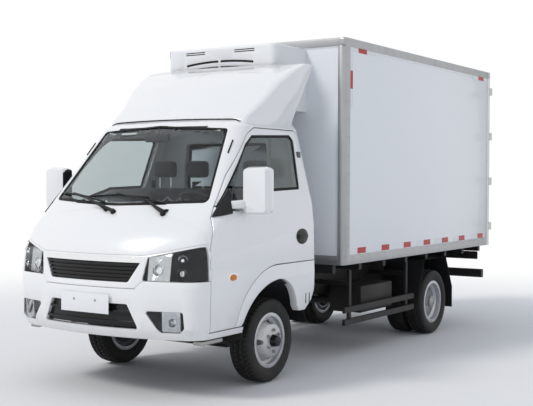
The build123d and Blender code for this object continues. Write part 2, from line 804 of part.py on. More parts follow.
# Air deflector: a thin shell that rises from the roof and flares back round the fridge unit
# Columns, as shares of the deflector's height, the cab's half width and the front overhang
deflector_low_z = 1950
deflector_height = 510
deflector_wall = 6
deflector_front_radius = 2400
deflector_corner_radius = 90
deflector_shares = [
    (0.00, 0.775, 0.235, 0.62),
    (0.14, 0.785, 0.200, 0.70),
    (0.34, 0.815, 0.080, 0.85),
    (0.66, 0.868, -0.045, 1.00),
    (0.86, 0.900, -0.170, 1.00),
    (1.00, 0.920, -0.300, 0.50),
]
deflector_rear_low_reach = 470
deflector_rear_tip_reach = 615


def deflector_level(shares, inset):
    """One level outline of the deflector, open towards the back."""
    height_share, width_share, nose_share, corner_share = shares
    half = width_share * cab_half_width - inset
    front = front_axle_y - nose_share * front_overhang + inset
    front_radius = deflector_front_radius - inset
    corner = corner_share * deflector_corner_radius - inset
    rear = aft(deflector_rear_tip_reach) + overrun
    centre_y = front + front_radius
    corner_y = centre_y - sqrt((front_radius - corner) ** 2 - (half - corner) ** 2)
    reach = front_radius / (front_radius - corner)
    meet_x = (half - corner) * reach
    meet_y = centre_y + (corner_y - centre_y) * reach
    with BuildSketch(Plane.XY.offset(deflector_low_z + height_share * deflector_height)) as level:
        with BuildLine():
            ThreePointArc((-meet_x, meet_y), (0, front), (meet_x, meet_y))
            RadiusArc((meet_x, meet_y), (half, corner_y), -corner)
            Polyline((half, corner_y), (half, rear), (-half, rear), (-half, corner_y))
            RadiusArc((-half, corner_y), (-meet_x, meet_y), -corner)
        make_face()
    return level.sketch


with BuildPart() as air_deflector:
    loft([deflector_level(shares, 0) for shares in deflector_shares], ruled=True)
    loft([deflector_level(shares, deflector_wall) for shares in deflector_shares], ruled=True,
         mode=Mode.SUBTRACT)
    add(cab_outer.part, mode=Mode.SUBTRACT)
    top_z = deflector_low_z + deflector_height
    plate([(nose_y, 0), (aft(deflector_rear_low_reach), 0),
           (aft(deflector_rear_low_reach), deflector_low_z),
           (aft(deflector_rear_tip_reach), top_z + overrun), (nose_y, top_z + overrun)],
          Plane.YZ, mirror_outer_x, both=True, mode=Mode.INTERSECT)
save(air_deflector, "air_deflector")

# Chassis: two channel rails, cross members, sub-rails and the bearers under the box
rail_inner_x = 305
rail_width = 66
rail_top_z = 660
rail_height = 150
rail_wall = 6
rail_front_reach = 1010
rail_rear_reach = 4115
sub_rail_rear_reach = 4190
member_reaches = (-960, 640, 1450, 2330, 3480, 4070)
member_width = 60
member_height = 90
sub_rail_height = 96
sub_rail_front_reach = 930
bearer_width = 50
bearer_half_length = 815
bearer_count = 8
box_low_z = 828
box_high_z = 2716
bracket_thickness = 8
bracket_length = 70
spring_half_width = 25
spring_x = rail_inner_x + rail_width / 2
front_eye_reach = 500
rear_eye_reach = 620
front_eye_z = 430
front_seat_z = 350
rear_eye_z = 478
rear_seat_z = 440
rear_axle_y = front_axle_y + wheelbase
rail_low_z = rail_top_z - rail_height
box_front_y = aft(cab_rear_reach + cab_to_box_gap)
box_rear_y = box_front_y + box_length
bearer_low_z = rail_top_z + sub_rail_height
cab_mount_half_width = 40
front_mount_reach = -900
rear_mount_reach = 330
tow_eye_radius = 13
tow_eye_length = 70
tow_eye_height = 60
tow_eye_thickness = 20


def channel(side):
    """One chassis rail, open towards the middle."""
    outer_x = side * (rail_inner_x + rail_width)
    web_x = side * (rail_inner_x + rail_width - rail_wall)
    inner_x = side * rail_inner_x
    plate([(inner_x, rail_low_z), (outer_x, rail_low_z), (outer_x, rail_top_z),
           (inner_x, rail_top_z), (inner_x, rail_top_z - rail_wall),
           (web_x, rail_top_z - rail_wall), (web_x, rail_low_z + rail_wall),
           (inner_x, rail_low_z + rail_wall)],
          Plane.XZ.offset(-aft(-rail_front_reach)), -(rail_front_reach + rail_rear_reach))


def spring_brackets(side, axle_y, eye_reach, eye_z):
    """Plates that hold a leaf spring's two eyes under one rail."""
    for direction in (-1, 1):
        y = axle_y + direction * eye_reach
        for edge in (-1, 1):
            inner = side * spring_x + edge * spring_half_width
            outer = inner + edge * bracket_thickness
            brick(sorted((inner, outer)), (y - bracket_length / 2, y + bracket_length / 2),
                  (eye_z - bracket_length / 2, rail_low_z))


def rail_block(side, low_y, high_y, low_z, high_z):
    """A block as wide as a rail, on top of it."""
    brick(sorted((side * rail_inner_x, side * (rail_inner_x + rail_width))), (low_y, high_y),
          (low_z, high_z))


with BuildPart() as chassis_frame:
    for side in (-1, 1):
        channel(side)
        spring_brackets(side, front_axle_y, front_eye_reach, front_eye_z)
        spring_brackets(side, rear_axle_y, rear_eye_reach, rear_eye_z)
        rail_block(side, aft(sub_rail_front_reach), aft(sub_rail_rear_reach), rail_top_z, bearer_low_z)
        rail_block(side, aft(front_mount_reach) - cab_mount_half_width,
                   aft(front_mount_reach) + cab_mount_half_width, rail_top_z, foot_floor_z)
        rail_block(side, aft(rear_mount_reach) - cab_mount_half_width,
                   aft(rear_mount_reach) + cab_mount_half_width, rail_top_z,
                   platform_z - floor_thickness)
    for reach in member_reaches:
        brick((rail_wall - rail_inner_x - rail_width, rail_inner_x + rail_width - rail_wall),
              (aft(reach) - member_width / 2, aft(reach) + member_width / 2),
              (rail_top_z - rail_wall - member_height, rail_top_z - rail_wall))
    front_eye_y = aft(-rail_front_reach)
    rear_eye_y = box_rear_y - tow_eye_length / 2
    eye_z = rail_top_z - rail_wall - member_height + tow_eye_height / 2
    brick((-tow_eye_height / 2, tow_eye_height / 2),
          (front_eye_y - tow_eye_height / 2, aft(member_reaches[0])),
          (eye_z - tow_eye_thickness / 2, eye_z + tow_eye_thickness / 2))
    brick((-tow_eye_thickness / 2, tow_eye_thickness / 2),
          (aft(member_reaches[-1]), rear_eye_y + tow_eye_length / 2),
          (eye_z - tow_eye_height / 2, eye_z + tow_eye_height / 2))
    rod((0, front_eye_y, eye_z - tow_eye_thickness), (0, front_eye_y, eye_z + tow_eye_thickness),
        tow_eye_radius, mode=Mode.SUBTRACT)
    rod((-tow_eye_thickness, rear_eye_y, eye_z), (tow_eye_thickness, rear_eye_y, eye_z),
        tow_eye_radius, mode=Mode.SUBTRACT)
save(chassis_frame, "chassis_frame")

with BuildPart() as box_bearers:
    bearer_pitch = (box_length - bearer_width) / (bearer_count - 1)
    for index in range(bearer_count):
        y = box_front_y + index * bearer_pitch
        brick((-bearer_half_length, bearer_half_length), (y, y + bearer_width),
              (bearer_low_z, box_low_z))
save(box_bearers, "box_bearers")

# Engine with its gearbox: one plain heavy body between the rails
engine_half_width = 240
engine_front_reach = 380
engine_length = 700
engine_mount_share = 0.333
engine_low_z = 400
engine_high_z = 790
gearbox_length = 420
gearbox_half_width = 120
gearbox_low_z = 420
gearbox_high_z = 556
engine_radius = 25

with BuildPart() as engine:
    front = aft(-engine_front_reach)
    engine_mount_reach = engine_mount_share * engine_length
    plate([(-engine_half_width, engine_low_z), (engine_half_width, engine_low_z),
           (engine_half_width, engine_high_z), (-engine_half_width, engine_high_z)],
          Plane.XZ.offset(-front), -engine_length, engine_radius)
    plate([(-gearbox_half_width, gearbox_low_z), (gearbox_half_width, gearbox_low_z),
           (gearbox_half_width, gearbox_high_z), (-gearbox_half_width, gearbox_high_z)],
          Plane.XZ.offset(-front - engine_length + engine_radius), -gearbox_length, engine_radius)
    for side in (-1, 1):
        brick(sorted((side * (engine_half_width - engine_radius),
                      side * (rail_inner_x + rail_width - rail_wall))),
              (front + engine_mount_reach, front + engine_mount_reach + member_width),
              (rail_low_z + member_width, rail_low_z + member_height))
save(engine, "engine")

# Leaf springs: stacked curved leaves, the longest one ending in rolled eyes
leaf_thickness = 11
leaf_count = 4
leaf_step_share = 0.2
eye_radius = 22
clip_bolt_radius = 8
clip_bolt_margin = 5
clip_bolt_reach = 58
axle_seat_height = 12


def leaf_spring(side, axle_y, eye_reach, eye_z, seat_z):
    """A pack of leaves whose top leaf dips from its two eyes to the axle's seat."""
    sag = eye_z - seat_z
    curve = (eye_reach ** 2 + sag ** 2) / (2 * sag)
    centre_z = seat_z + curve
    with BuildSketch(Plane.YZ.offset(side * spring_x - spring_half_width)) as leaves:
        for index in range(leaf_count):
            reach = eye_reach * (1 - index * leaf_step_share)
            inner = curve + index * leaf_thickness
            outer = inner + leaf_thickness
            with BuildLine():
                inner_end = centre_z - sqrt(inner ** 2 - reach ** 2)
                outer_end = centre_z - sqrt(outer ** 2 - reach ** 2)
                ThreePointArc((axle_y - reach, inner_end), (axle_y, centre_z - inner),
                              (axle_y + reach, inner_end))
                Line((axle_y + reach, inner_end), (axle_y + reach, outer_end))
                ThreePointArc((axle_y + reach, outer_end), (axle_y, centre_z - outer),
                              (axle_y - reach, outer_end))
                Line((axle_y - reach, outer_end), (axle_y - reach, inner_end))
            make_face()
        with Locations((axle_y - eye_reach, eye_z), (axle_y + eye_reach, eye_z)):
            Circle(eye_radius)
    extrude(leaves.sketch, amount=2 * spring_half_width)


def spring_seat(side, axle_y, low_z, pack_low_z, pack_high_z):
    """The axle's seat block and the clip plate over the leaves, bolted together."""
    x = side * spring_x
    bolt_out = spring_half_width + clip_bolt_radius + clip_bolt_margin
    width = bolt_out + clip_bolt_radius + clip_bolt_margin
    brick((x - width, x + width), (axle_y - clip_bolt_reach, axle_y + clip_bolt_reach),
          (low_z, pack_low_z))
    brick((x - width, x + width), (axle_y - clip_bolt_reach, axle_y + clip_bolt_reach),
          (pack_high_z, pack_high_z + axle_seat_height))
    for across in (-1, 1):
        for along in (-1, 1):
            bolt_x = x + across * bolt_out
            bolt_y = axle_y + along * (clip_bolt_reach - clip_bolt_radius - clip_bolt_margin)
            rod((bolt_x, bolt_y, low_z), (bolt_x, bolt_y, pack_high_z + 2 * axle_seat_height),
                clip_bolt_radius)


# Front axle: a dropped I-beam with a boss for the kingpin at each end
kingpin_x = 600
kingpin_radius = 15
boss_radius = 28
boss_height = 64
beam_width = 60
beam_height = 62
beam_web = 18
beam_flange = 14
beam_bend_x = 500
beam_low_x = 410
pack_height = leaf_count * leaf_thickness
beam_low_top_z = front_seat_z - pack_height - axle_seat_height

with BuildPart() as front_axle:
    beam_top = [(-kingpin_x, tyre_radius + beam_height / 2), (-beam_bend_x, tyre_radius + beam_height / 2),
                (-beam_low_x, beam_low_top_z), (beam_low_x, beam_low_top_z),
                (beam_bend_x, tyre_radius + beam_height / 2), (kingpin_x, tyre_radius + beam_height / 2)]
    beam_bottom = [(x, z - beam_height) for x, z in reversed(beam_top)]
    plate(beam_top + beam_bottom, Plane.XZ.offset(-front_axle_y), beam_width / 2, both=True)
    recess = [(-beam_low_x, beam_low_top_z - beam_flange), (beam_low_x, beam_low_top_z - beam_flange),
              (beam_low_x, beam_low_top_z - beam_height + beam_flange),
              (-beam_low_x, beam_low_top_z - beam_height + beam_flange)]
    for facing in (-1, 1):
        plate(recess, Plane.XZ.offset(-front_axle_y + facing * beam_web / 2), facing * beam_width,
              mode=Mode.SUBTRACT)
    for side in (-1, 1):
        rod((side * kingpin_x, front_axle_y, tyre_radius - boss_height / 2),
            (side * kingpin_x, front_axle_y, tyre_radius + boss_height / 2), boss_radius)
        rod((side * kingpin_x, front_axle_y, tyre_radius - boss_height),
            (side * kingpin_x, front_axle_y, tyre_radius + boss_height),
            kingpin_radius + pin_clearance, mode=Mode.SUBTRACT)
        leaf_spring(side, front_axle_y, front_eye_reach, front_eye_z, front_seat_z)
        spring_seat(side, front_axle_y, beam_low_top_z, front_seat_z - pack_height, front_seat_z)
save(front_axle, "front_axle")

# Rear axle: housing tubes, differential and brake flanges on its own springs
housing_radius = 52
housing_end_x = 436
differential_radius = 150
differential_half_width = 110
spindle_radius = 30
rear_spindle_end_x = 800
nose_radius = 70
nose_length = 210
flange_radius = 120
flange_thickness = 14

with BuildPart() as rear_axle:
    rod((-housing_end_x, rear_axle_y, tyre_radius), (housing_end_x, rear_axle_y, tyre_radius),
        housing_radius)
    rod((-rear_spindle_end_x, rear_axle_y, tyre_radius),
        (rear_spindle_end_x, rear_axle_y, tyre_radius), spindle_radius)
    with BuildSketch(Plane(origin=(0, rear_axle_y, tyre_radius), x_dir=(1, 0, 0),
                           z_dir=(0, -1, 0))) as belly:
        with BuildLine():
            ThreePointArc((-differential_radius, 0), (0, differential_half_width),
                          (differential_radius, 0))
            Line((differential_radius, 0), (-differential_radius, 0))
        make_face()
    revolve(belly.sketch, axis=Axis((0, rear_axle_y, tyre_radius), (1, 0, 0)))
    rod((0, rear_axle_y, tyre_radius), (0, rear_axle_y - nose_length, tyre_radius), nose_radius)
    for side in (-1, 1):
        rod((side * (housing_end_x - flange_thickness), rear_axle_y, tyre_radius),
            (side * housing_end_x, rear_axle_y, tyre_radius), flange_radius)
        leaf_spring(side, rear_axle_y, rear_eye_reach, rear_eye_z, rear_seat_z)
        spring_seat(side, rear_axle_y, tyre_radius, rear_seat_z - pack_height, rear_seat_z)
save(rear_axle, "rear_axle")

# Propeller shaft from the gearbox down to the differential
shaft_radius = 34
yoke_radius = 55
yoke_length = 60
shaft_start = (0, front + engine_length + gearbox_length - 2 * engine_radius + engine_radius,
               (gearbox_low_z + gearbox_high_z) / 2)
shaft_end = (0, rear_axle_y - nose_length, tyre_radius)

with BuildPart() as drive_shaft:
    near = (0, shaft_start[1] + yoke_length, shaft_start[2])
    far = (0, shaft_end[1] - yoke_length, shaft_end[2])
    rod(shaft_start, near, yoke_radius)
    rod(far, shaft_end, yoke_radius)
    rod((0, near[1] - yoke_length / 2, near[2]), (0, far[1] + yoke_length / 2, far[2]), shaft_radius)
save(drive_shaft, "drive_shaft")

# Wheels: one pressed disc rim serves all six; columns are reach outward and radius
rim_half_width = 78
rim_lip = 8
rim_flange_radius = 209
rim_seat_radius = 190
rim_well_radius = 168
rim_metal = 8
disc_offset = 107
disc_edge_radius = 118
hub_face_radius = 62
hand_hole_count = 4
hand_hole_radius = 21
hand_hole_circle = 143
well_shares = (-0.38, -0.22, 0.30, 0.44)
disc_metal = 10
drum_radius = 146
drum_depth = 120
hub_cap_radius = 48
hub_cap_length = 46
hub_cap_taper = 12
front_wheel_x = 712
rear_outer_x = 739
twin_spacing = 215
brake_gap = 6
front_hub_x = front_wheel_x + disc_offset


def rim(centre_x, axle_y, outward):
    """A rim with its disc bulging to one side: outward is 1 or -1 along the axle."""
    low, drop, rise, high = [share * rim_half_width for share in well_shares]
    metal = rim_metal
    outline = [
        (-rim_half_width, rim_flange_radius), (-rim_half_width + rim_lip, rim_flange_radius),
        (-rim_half_width + rim_lip, rim_seat_radius), (low, rim_seat_radius),
        (drop, rim_well_radius), (rise, rim_well_radius), (high, rim_seat_radius),
        (rim_half_width - rim_lip, rim_seat_radius), (rim_half_width - rim_lip, rim_flange_radius),
        (rim_half_width, rim_flange_radius), (rim_half_width, rim_seat_radius - metal),
        (high + metal / 2, rim_seat_radius - metal), (rise + metal, rim_well_radius - metal),
        (disc_offset - metal, disc_edge_radius + metal), (disc_offset, disc_edge_radius - metal),
        (disc_offset, hub_face_radius), (disc_offset - disc_metal, hub_face_radius),
        (disc_offset - disc_metal, disc_edge_radius - metal), (disc_offset - 2 * metal, disc_edge_radius),
        (rise - metal, rim_well_radius - metal), (drop + metal / 2, rim_well_radius - metal),
        (low - metal / 2, rim_seat_radius - metal), (-rim_half_width, rim_seat_radius - metal)]
    plane = Plane(origin=(centre_x, axle_y, tyre_radius), x_dir=(outward, 0, 0),
                  z_dir=(0, -outward, 0))
    with BuildSketch(plane) as section:
        with BuildLine():
            Polyline(*outline, close=True)
        make_face()
    revolve(section.sketch, axis=Axis((centre_x, axle_y, tyre_radius), (1, 0, 0)))
    hole_plane = Plane(origin=(centre_x + outward * rim_half_width / 2, axle_y, tyre_radius),
                       z_dir=(outward, 0, 0))
    with BuildSketch(hole_plane) as holes:
        with PolarLocations(hand_hole_circle, hand_hole_count):
            Circle(hand_hole_radius)
    extrude(holes.sketch, amount=rim_half_width, mode=Mode.SUBTRACT)


def ring_round_axle(low_x, high_x, inner, outer, axle_y):
    """A plain ring round an axle's line."""
    with BuildSketch(Plane(origin=(low_x, axle_y, tyre_radius), z_dir=(1, 0, 0))) as section:
        Circle(outer)
        Circle(inner, mode=Mode.SUBTRACT)
    extrude(section.sketch, amount=high_x - low_x)


# Tyre section: half of its width and its height above the seat, as shares
tread_half_share = 0.78
shoulder_share = 0.955
bulge_share = 0.55


def tyre(centre_x, axle_y):
    """One tyre as a ring with beads inside the rim's flanges and rounded shoulders."""
    half = tyre_width / 2
    seat = rim_seat_radius + touch
    height = tyre_radius - seat
    shoulder = seat + shoulder_share * height
    bulge = seat + bulge_share * height
    tread = tread_half_share * half
    flange_top = rim_flange_radius + touch
    inner_face = rim_half_width - rim_lip - touch
    plane = Plane(origin=(centre_x, axle_y, tyre_radius), x_dir=(1, 0, 0), z_dir=(0, -1, 0))
    with BuildSketch(plane) as section:
        with BuildLine():
            Polyline((-rim_half_width, flange_top), (-inner_face, flange_top), (-inner_face, seat),
                     (inner_face, seat), (inner_face, flange_top), (rim_half_width, flange_top))
            ThreePointArc((rim_half_width, flange_top), (half, bulge), (tread, shoulder))
            ThreePointArc((tread, shoulder), (0, tyre_radius), (-tread, shoulder))
            ThreePointArc((-tread, shoulder), (-half, bulge), (-rim_half_width, flange_top))
        make_face()
    revolve(section.sketch, axis=Axis((centre_x, axle_y, tyre_radius), (1, 0, 0)))


with BuildPart() as front_tyre_left:
    tyre(front_wheel_x, front_axle_y)
save(front_tyre_left, "front_tyre_left")
save_mirrored(front_tyre_left, "front_tyre_right")

hub_bore = spindle_radius + touch
front_drum_x = front_wheel_x - rim_half_width / 2
with BuildPart() as front_rim_left:
    rim(front_wheel_x, front_axle_y, 1)
    ring_round_axle(front_drum_x, front_hub_x - disc_metal, hub_bore, hub_face_radius, front_axle_y)
    ring_round_axle(front_drum_x + drum_depth / 2, front_hub_x - disc_metal, hub_bore,
                    disc_edge_radius - rim_metal, front_axle_y)
    ring_round_axle(front_drum_x, front_drum_x + drum_depth / 2, drum_radius - rim_metal, drum_radius,
                    front_axle_y)
    ring_round_axle(front_drum_x + drum_depth / 2 - disc_metal, front_drum_x + drum_depth / 2 + disc_metal,
                    hub_bore, drum_radius - rim_metal, front_axle_y)
    ring_round_axle(front_hub_x - disc_metal, front_hub_x, hub_bore, hub_face_radius + touch,
                    front_axle_y)
    with BuildSketch(Plane(origin=(front_hub_x, front_axle_y, tyre_radius), z_dir=(1, 0, 0))) as cap:
        Circle(hub_cap_radius)
    extrude(cap.sketch, amount=hub_cap_length, taper=hub_cap_taper)
save(front_rim_left, "front_rim_left")
save_mirrored(front_rim_left, "front_rim_right")

rear_inner_x = rear_outer_x - twin_spacing
twin_middle_x = (rear_outer_x + rear_inner_x) / 2
with BuildPart() as rear_tyres_left:
    tyre(rear_inner_x, rear_axle_y)
    tyre(rear_outer_x, rear_axle_y)
save(rear_tyres_left, "rear_tyres_left")
save_mirrored(rear_tyres_left, "rear_tyres_right")

with BuildPart() as rear_rims_left:
    rim(rear_inner_x, rear_axle_y, 1)
    rim(rear_outer_x, rear_axle_y, -1)
    drum_x = housing_end_x + brake_gap
    ring_round_axle(drum_x, twin_middle_x + disc_metal, hub_bore, hub_face_radius + touch, rear_axle_y)
    ring_round_axle(drum_x, drum_x + drum_depth, drum_radius - rim_metal, drum_radius, rear_axle_y)
    ring_round_axle(drum_x + drum_depth, drum_x + drum_depth + disc_metal, hub_face_radius,
                    drum_radius, rear_axle_y)
    ring_round_axle(twin_middle_x, rear_spindle_end_x, hub_bore, hub_face_radius - disc_metal,
                    rear_axle_y)
save(rear_rims_left, "rear_rims_left")
save_mirrored(rear_rims_left, "rear_rims_right")

# Steering knuckles: a fork on the kingpin, the wheel's spindle and the steering arm
fork_thickness = 18
fork_gap = 1
fork_half_width = 30
fork_back = 34
arm_eye_x = kingpin_x
arm_eye_reach = 150
arm_width = 34
ball_pin_radius = 9
rod_eye_radius = 20
rod_eye_height = 22
tie_rod_radius = 9
ball_pin_gap = 2
spindle_end_x = 800
backing_thickness = 5
fork_low_z = tyre_radius - boss_height / 2 - fork_gap
fork_high_z = tyre_radius + boss_height / 2 + fork_gap
tie_rod_z = fork_low_z - fork_thickness - ball_pin_gap - rod_eye_height / 2

with BuildPart() as knuckle_left:
    fork_x = kingpin_x + fork_back
    for low in (fork_low_z - fork_thickness, fork_high_z):
        with BuildSketch(Plane.XY.offset(low)) as ear:
            with Locations((kingpin_x, front_axle_y)):
                Circle(fork_half_width)
            with Locations(((kingpin_x + fork_x) / 2, front_axle_y)):
                Rectangle(fork_back, 2 * fork_half_width)
        extrude(ear.sketch, amount=fork_thickness)
    brick((fork_x, fork_x + fork_thickness),
          (front_axle_y - fork_half_width, front_axle_y + fork_half_width),
          (fork_low_z - fork_thickness, fork_high_z + fork_thickness))
    rod((kingpin_x, front_axle_y, fork_low_z - fork_thickness),
        (kingpin_x, front_axle_y, fork_high_z + fork_thickness), kingpin_radius)
    rod((fork_x, front_axle_y, tyre_radius), (spindle_end_x, front_axle_y, tyre_radius),
        spindle_radius)
    ring_round_axle(fork_x + fork_thickness, fork_x + fork_thickness + backing_thickness,
                    spindle_radius / 2, drum_radius, front_axle_y)
    arm_y = aft(arm_eye_reach)
    with BuildSketch(Plane.XY.offset(fork_low_z - fork_thickness)) as steering_arm:
        with BuildLine():
            Polyline((kingpin_x + fork_back, front_axle_y + fork_half_width - arm_width),
                     (kingpin_x + fork_back, front_axle_y + fork_half_width),
                     (arm_eye_x + arm_width / 2, arm_y), (arm_eye_x - arm_width / 2, arm_y),
                     (kingpin_x - fork_half_width / 2, front_axle_y + fork_half_width - arm_width),
                     close=True)
        make_face()
        with Locations((arm_eye_x, arm_y)):
            Circle(arm_width / 2)
    extrude(steering_arm.sketch, amount=fork_thickness)
    rod((arm_eye_x, arm_y, fork_low_z - fork_thickness),
        (arm_eye_x, arm_y, tie_rod_z - rod_eye_height / 2), ball_pin_radius)
save(knuckle_left, "knuckle_left")
save_mirrored(knuckle_left, "knuckle_right")

with BuildPart() as tie_rod:
    for side in (-1, 1):
        rod((side * arm_eye_x, arm_y, tie_rod_z - rod_eye_height / 2),
            (side * arm_eye_x, arm_y, tie_rod_z + rod_eye_height / 2), rod_eye_radius)
    rod((-arm_eye_x, arm_y, tie_rod_z), (arm_eye_x, arm_y, tie_rod_z), tie_rod_radius)
    for side in (-1, 1):
        rod((side * arm_eye_x, arm_y, tie_rod_z - rod_eye_height),
            (side * arm_eye_x, arm_y, tie_rod_z + rod_eye_height),
            ball_pin_radius + pin_clearance, mode=Mode.SUBTRACT)
save(tie_rod, "tie_rod")

# Box: rails, posts and corner caps stand a little proud of the insulated panels
box_wall = 80
rail_proud = 6
bottom_rail_height = 77
top_rail_height = 68
roof_rail_width = 70
front_post_width = 62
side_post_width = 102
corner_radius = 40
door_frame_depth = 66
door_frame_width = 60
floor_height = 92
cargo_door_gap = 8
cargo_door_thickness = 60
box_inner_half = box_half_width - rail_proud - box_wall
frame_front_y = box_rear_y - door_frame_depth
roof_low_z = box_high_z - rail_proud - box_wall
floor_top_z = box_low_z + rail_proud + floor_height

panel_outer_x = box_half_width - rail_proud
panel_front_y = box_front_y + rail_proud
wall_top_z = roof_low_z
wall_low_z = box_low_z + rail_proud
inner_radius = corner_radius - rail_proud

with BuildPart() as rail_core:
    brick((-panel_outer_x, panel_outer_x), (panel_front_y, frame_front_y + overrun),
          (wall_low_z, box_high_z - rail_proud))
    fillet(rail_core.edges().filter_by(Axis.Z).group_by(Axis.Y)[0], radius=inner_radius)

with BuildPart() as box_rails:
    brick((-box_half_width, box_half_width), (box_front_y, frame_front_y), (box_low_z, box_high_z))
    fillet(box_rails.edges().filter_by(Axis.Z).group_by(Axis.Y)[0], radius=corner_radius)
    add(rail_core.part, mode=Mode.SUBTRACT)
    brick((-box_half_width - overrun, box_half_width + overrun),
          (box_front_y + side_post_width, frame_front_y + overrun),
          (box_low_z + bottom_rail_height, box_high_z - top_rail_height), mode=Mode.SUBTRACT)
    brick((front_post_width - box_half_width, box_half_width - front_post_width),
          (box_front_y - overrun, box_front_y + side_post_width),
          (box_low_z + bottom_rail_height, box_high_z - top_rail_height), mode=Mode.SUBTRACT)
    brick((roof_rail_width - box_half_width, box_half_width - roof_rail_width),
          (box_front_y + side_post_width, frame_front_y + overrun),
          (box_low_z - overrun, box_high_z + overrun), mode=Mode.SUBTRACT)
save(box_rails, "box_rails")

with BuildPart() as box_side_walls:
    for side in (-1, 1):
        brick(sorted((side * box_inner_half, side * panel_outer_x)), (panel_front_y, frame_front_y),
              (wall_low_z, wall_top_z))
    front_edges = box_side_walls.edges().filter_by(Axis.Z).group_by(Axis.Y)[0].sort_by(Axis.X)
    fillet((front_edges[0], front_edges[-1]), radius=inner_radius)
save(box_side_walls, "box_side_walls")

with BuildPart() as box_front_wall:
    brick((-box_inner_half, box_inner_half), (panel_front_y, panel_front_y + box_wall),
          (wall_low_z, wall_top_z))
save(box_front_wall, "box_front_wall")

# Roof panel with a shallow cross fall between its rails
roof_crown = 5
with BuildPart() as box_roof:
    rail_edge_x = box_half_width - roof_rail_width
    plate([(-panel_outer_x, roof_low_z), (panel_outer_x, roof_low_z),
           (panel_outer_x, box_high_z - rail_proud), (rail_edge_x, box_high_z - rail_proud),
           (0, box_high_z - rail_proud + roof_crown), (-rail_edge_x, box_high_z - rail_proud),
           (-panel_outer_x, box_high_z - rail_proud)],
          Plane.XZ.offset(-panel_front_y), -(frame_front_y - panel_front_y))
    brick((-rail_edge_x, rail_edge_x), (panel_front_y, box_front_y + side_post_width),
          (box_high_z - rail_proud, box_high_z), mode=Mode.SUBTRACT)
    fillet(box_roof.edges().filter_by(Axis.Z).group_by(Axis.Y)[0], radius=inner_radius)
save(box_roof, "box_roof")

# Floor with drain channels pressed along its length
channel_count = 15
channel_depth = 8
channel_width = 50
with BuildPart() as box_floor:
    brick((-box_inner_half, box_inner_half), (panel_front_y + box_wall, frame_front_y),
          (wall_low_z, floor_top_z))
    pitch = 2 * box_inner_half / channel_count
    for index in range(channel_count):
        x = -box_inner_half + (index + 0.5) * pitch
        brick((x - channel_width / 2, x + channel_width / 2),
              (panel_front_y + box_wall, frame_front_y),
              (floor_top_z - channel_depth, floor_top_z), mode=Mode.SUBTRACT)
save(box_floor, "box_floor")

# Rear door frame: a stainless ring with hinge lugs and pins at its outer edges
pin_back = 25
pin_out = 5
cargo_pin_radius = 7
lug_radius = 13
lug_height = 22
strap_height = 36
strap_thickness = 7
strap_length = 240
strap_gap = 1
strap_shares = (0.08, 0.36, 0.64, 0.92)
pin_x = box_half_width + pin_out
pin_y = box_rear_y + pin_back
door_low_z = box_low_z + door_frame_width + cargo_door_gap
door_high_z = box_high_z - door_frame_width - cargo_door_gap
door_outer_x = box_half_width - door_frame_width - cargo_door_gap
strap_heights = [door_low_z + share * (door_high_z - door_low_z) for share in strap_shares]

with BuildPart() as hinge_lugs:
    for height in strap_heights:
        for direction in (-1, 1):
            low = height + direction * (strap_height / 2 + strap_gap + lug_height / 2) - lug_height / 2
            rod((pin_x, pin_y, low), (pin_x, pin_y, low + lug_height), lug_radius)
            brick((box_half_width - lug_radius, pin_x + pin_out),
                  (box_rear_y - overrun, pin_y), (low, low + lug_height))
    brick((0, box_half_width), (box_rear_y - 2 * overrun, box_rear_y), (box_low_z, box_high_z),
          mode=Mode.SUBTRACT)
    brick((box_half_width, box_half_width + overrun), (box_rear_y - 2 * overrun, box_rear_y - overrun / 2),
          (box_low_z, box_high_z), mode=Mode.SUBTRACT)
    for height in strap_heights:
        rod((pin_x, pin_y, height - strap_height / 2 - lug_height),
            (pin_x, pin_y, height + strap_height / 2 + lug_height), cargo_pin_radius)
    mirror(about=Plane.YZ)

with BuildPart() as box_door_frame:
    brick((-box_half_width, box_half_width), (frame_front_y, box_rear_y), (box_low_z, box_high_z))
    brick((door_frame_width - box_half_width, box_half_width - door_frame_width),
          (frame_front_y - overrun, box_rear_y + overrun),
          (box_low_z + door_frame_width, box_high_z - door_frame_width), mode=Mode.SUBTRACT)
    add(hinge_lugs.part)
save(box_door_frame, "box_door_frame")

# Cargo doors: insulated leaves with their hinge straps
with BuildPart() as cargo_door_left:
    brick((cargo_door_gap, door_outer_x), (box_rear_y - cargo_door_thickness, box_rear_y),
          (door_low_z, door_high_z))
save(cargo_door_left, "cargo_door_left")
save_mirrored(cargo_door_left, "cargo_door_right")

# Door hardware: hinge straps, two lock rods with cams and hand levers on every door
lock_rod_xs = (150, 430)
rod_end_reach = 60
bearing_width = 60
bearing_height = 40
bearing_shares = (0.06, 0.30, 0.60, 0.94)
lever_length = 330
lever_height_share = 0.22
lever_width = 26
lever_thickness = 8
cam_width = 44
cam_height = 26
keeper_gap = 2

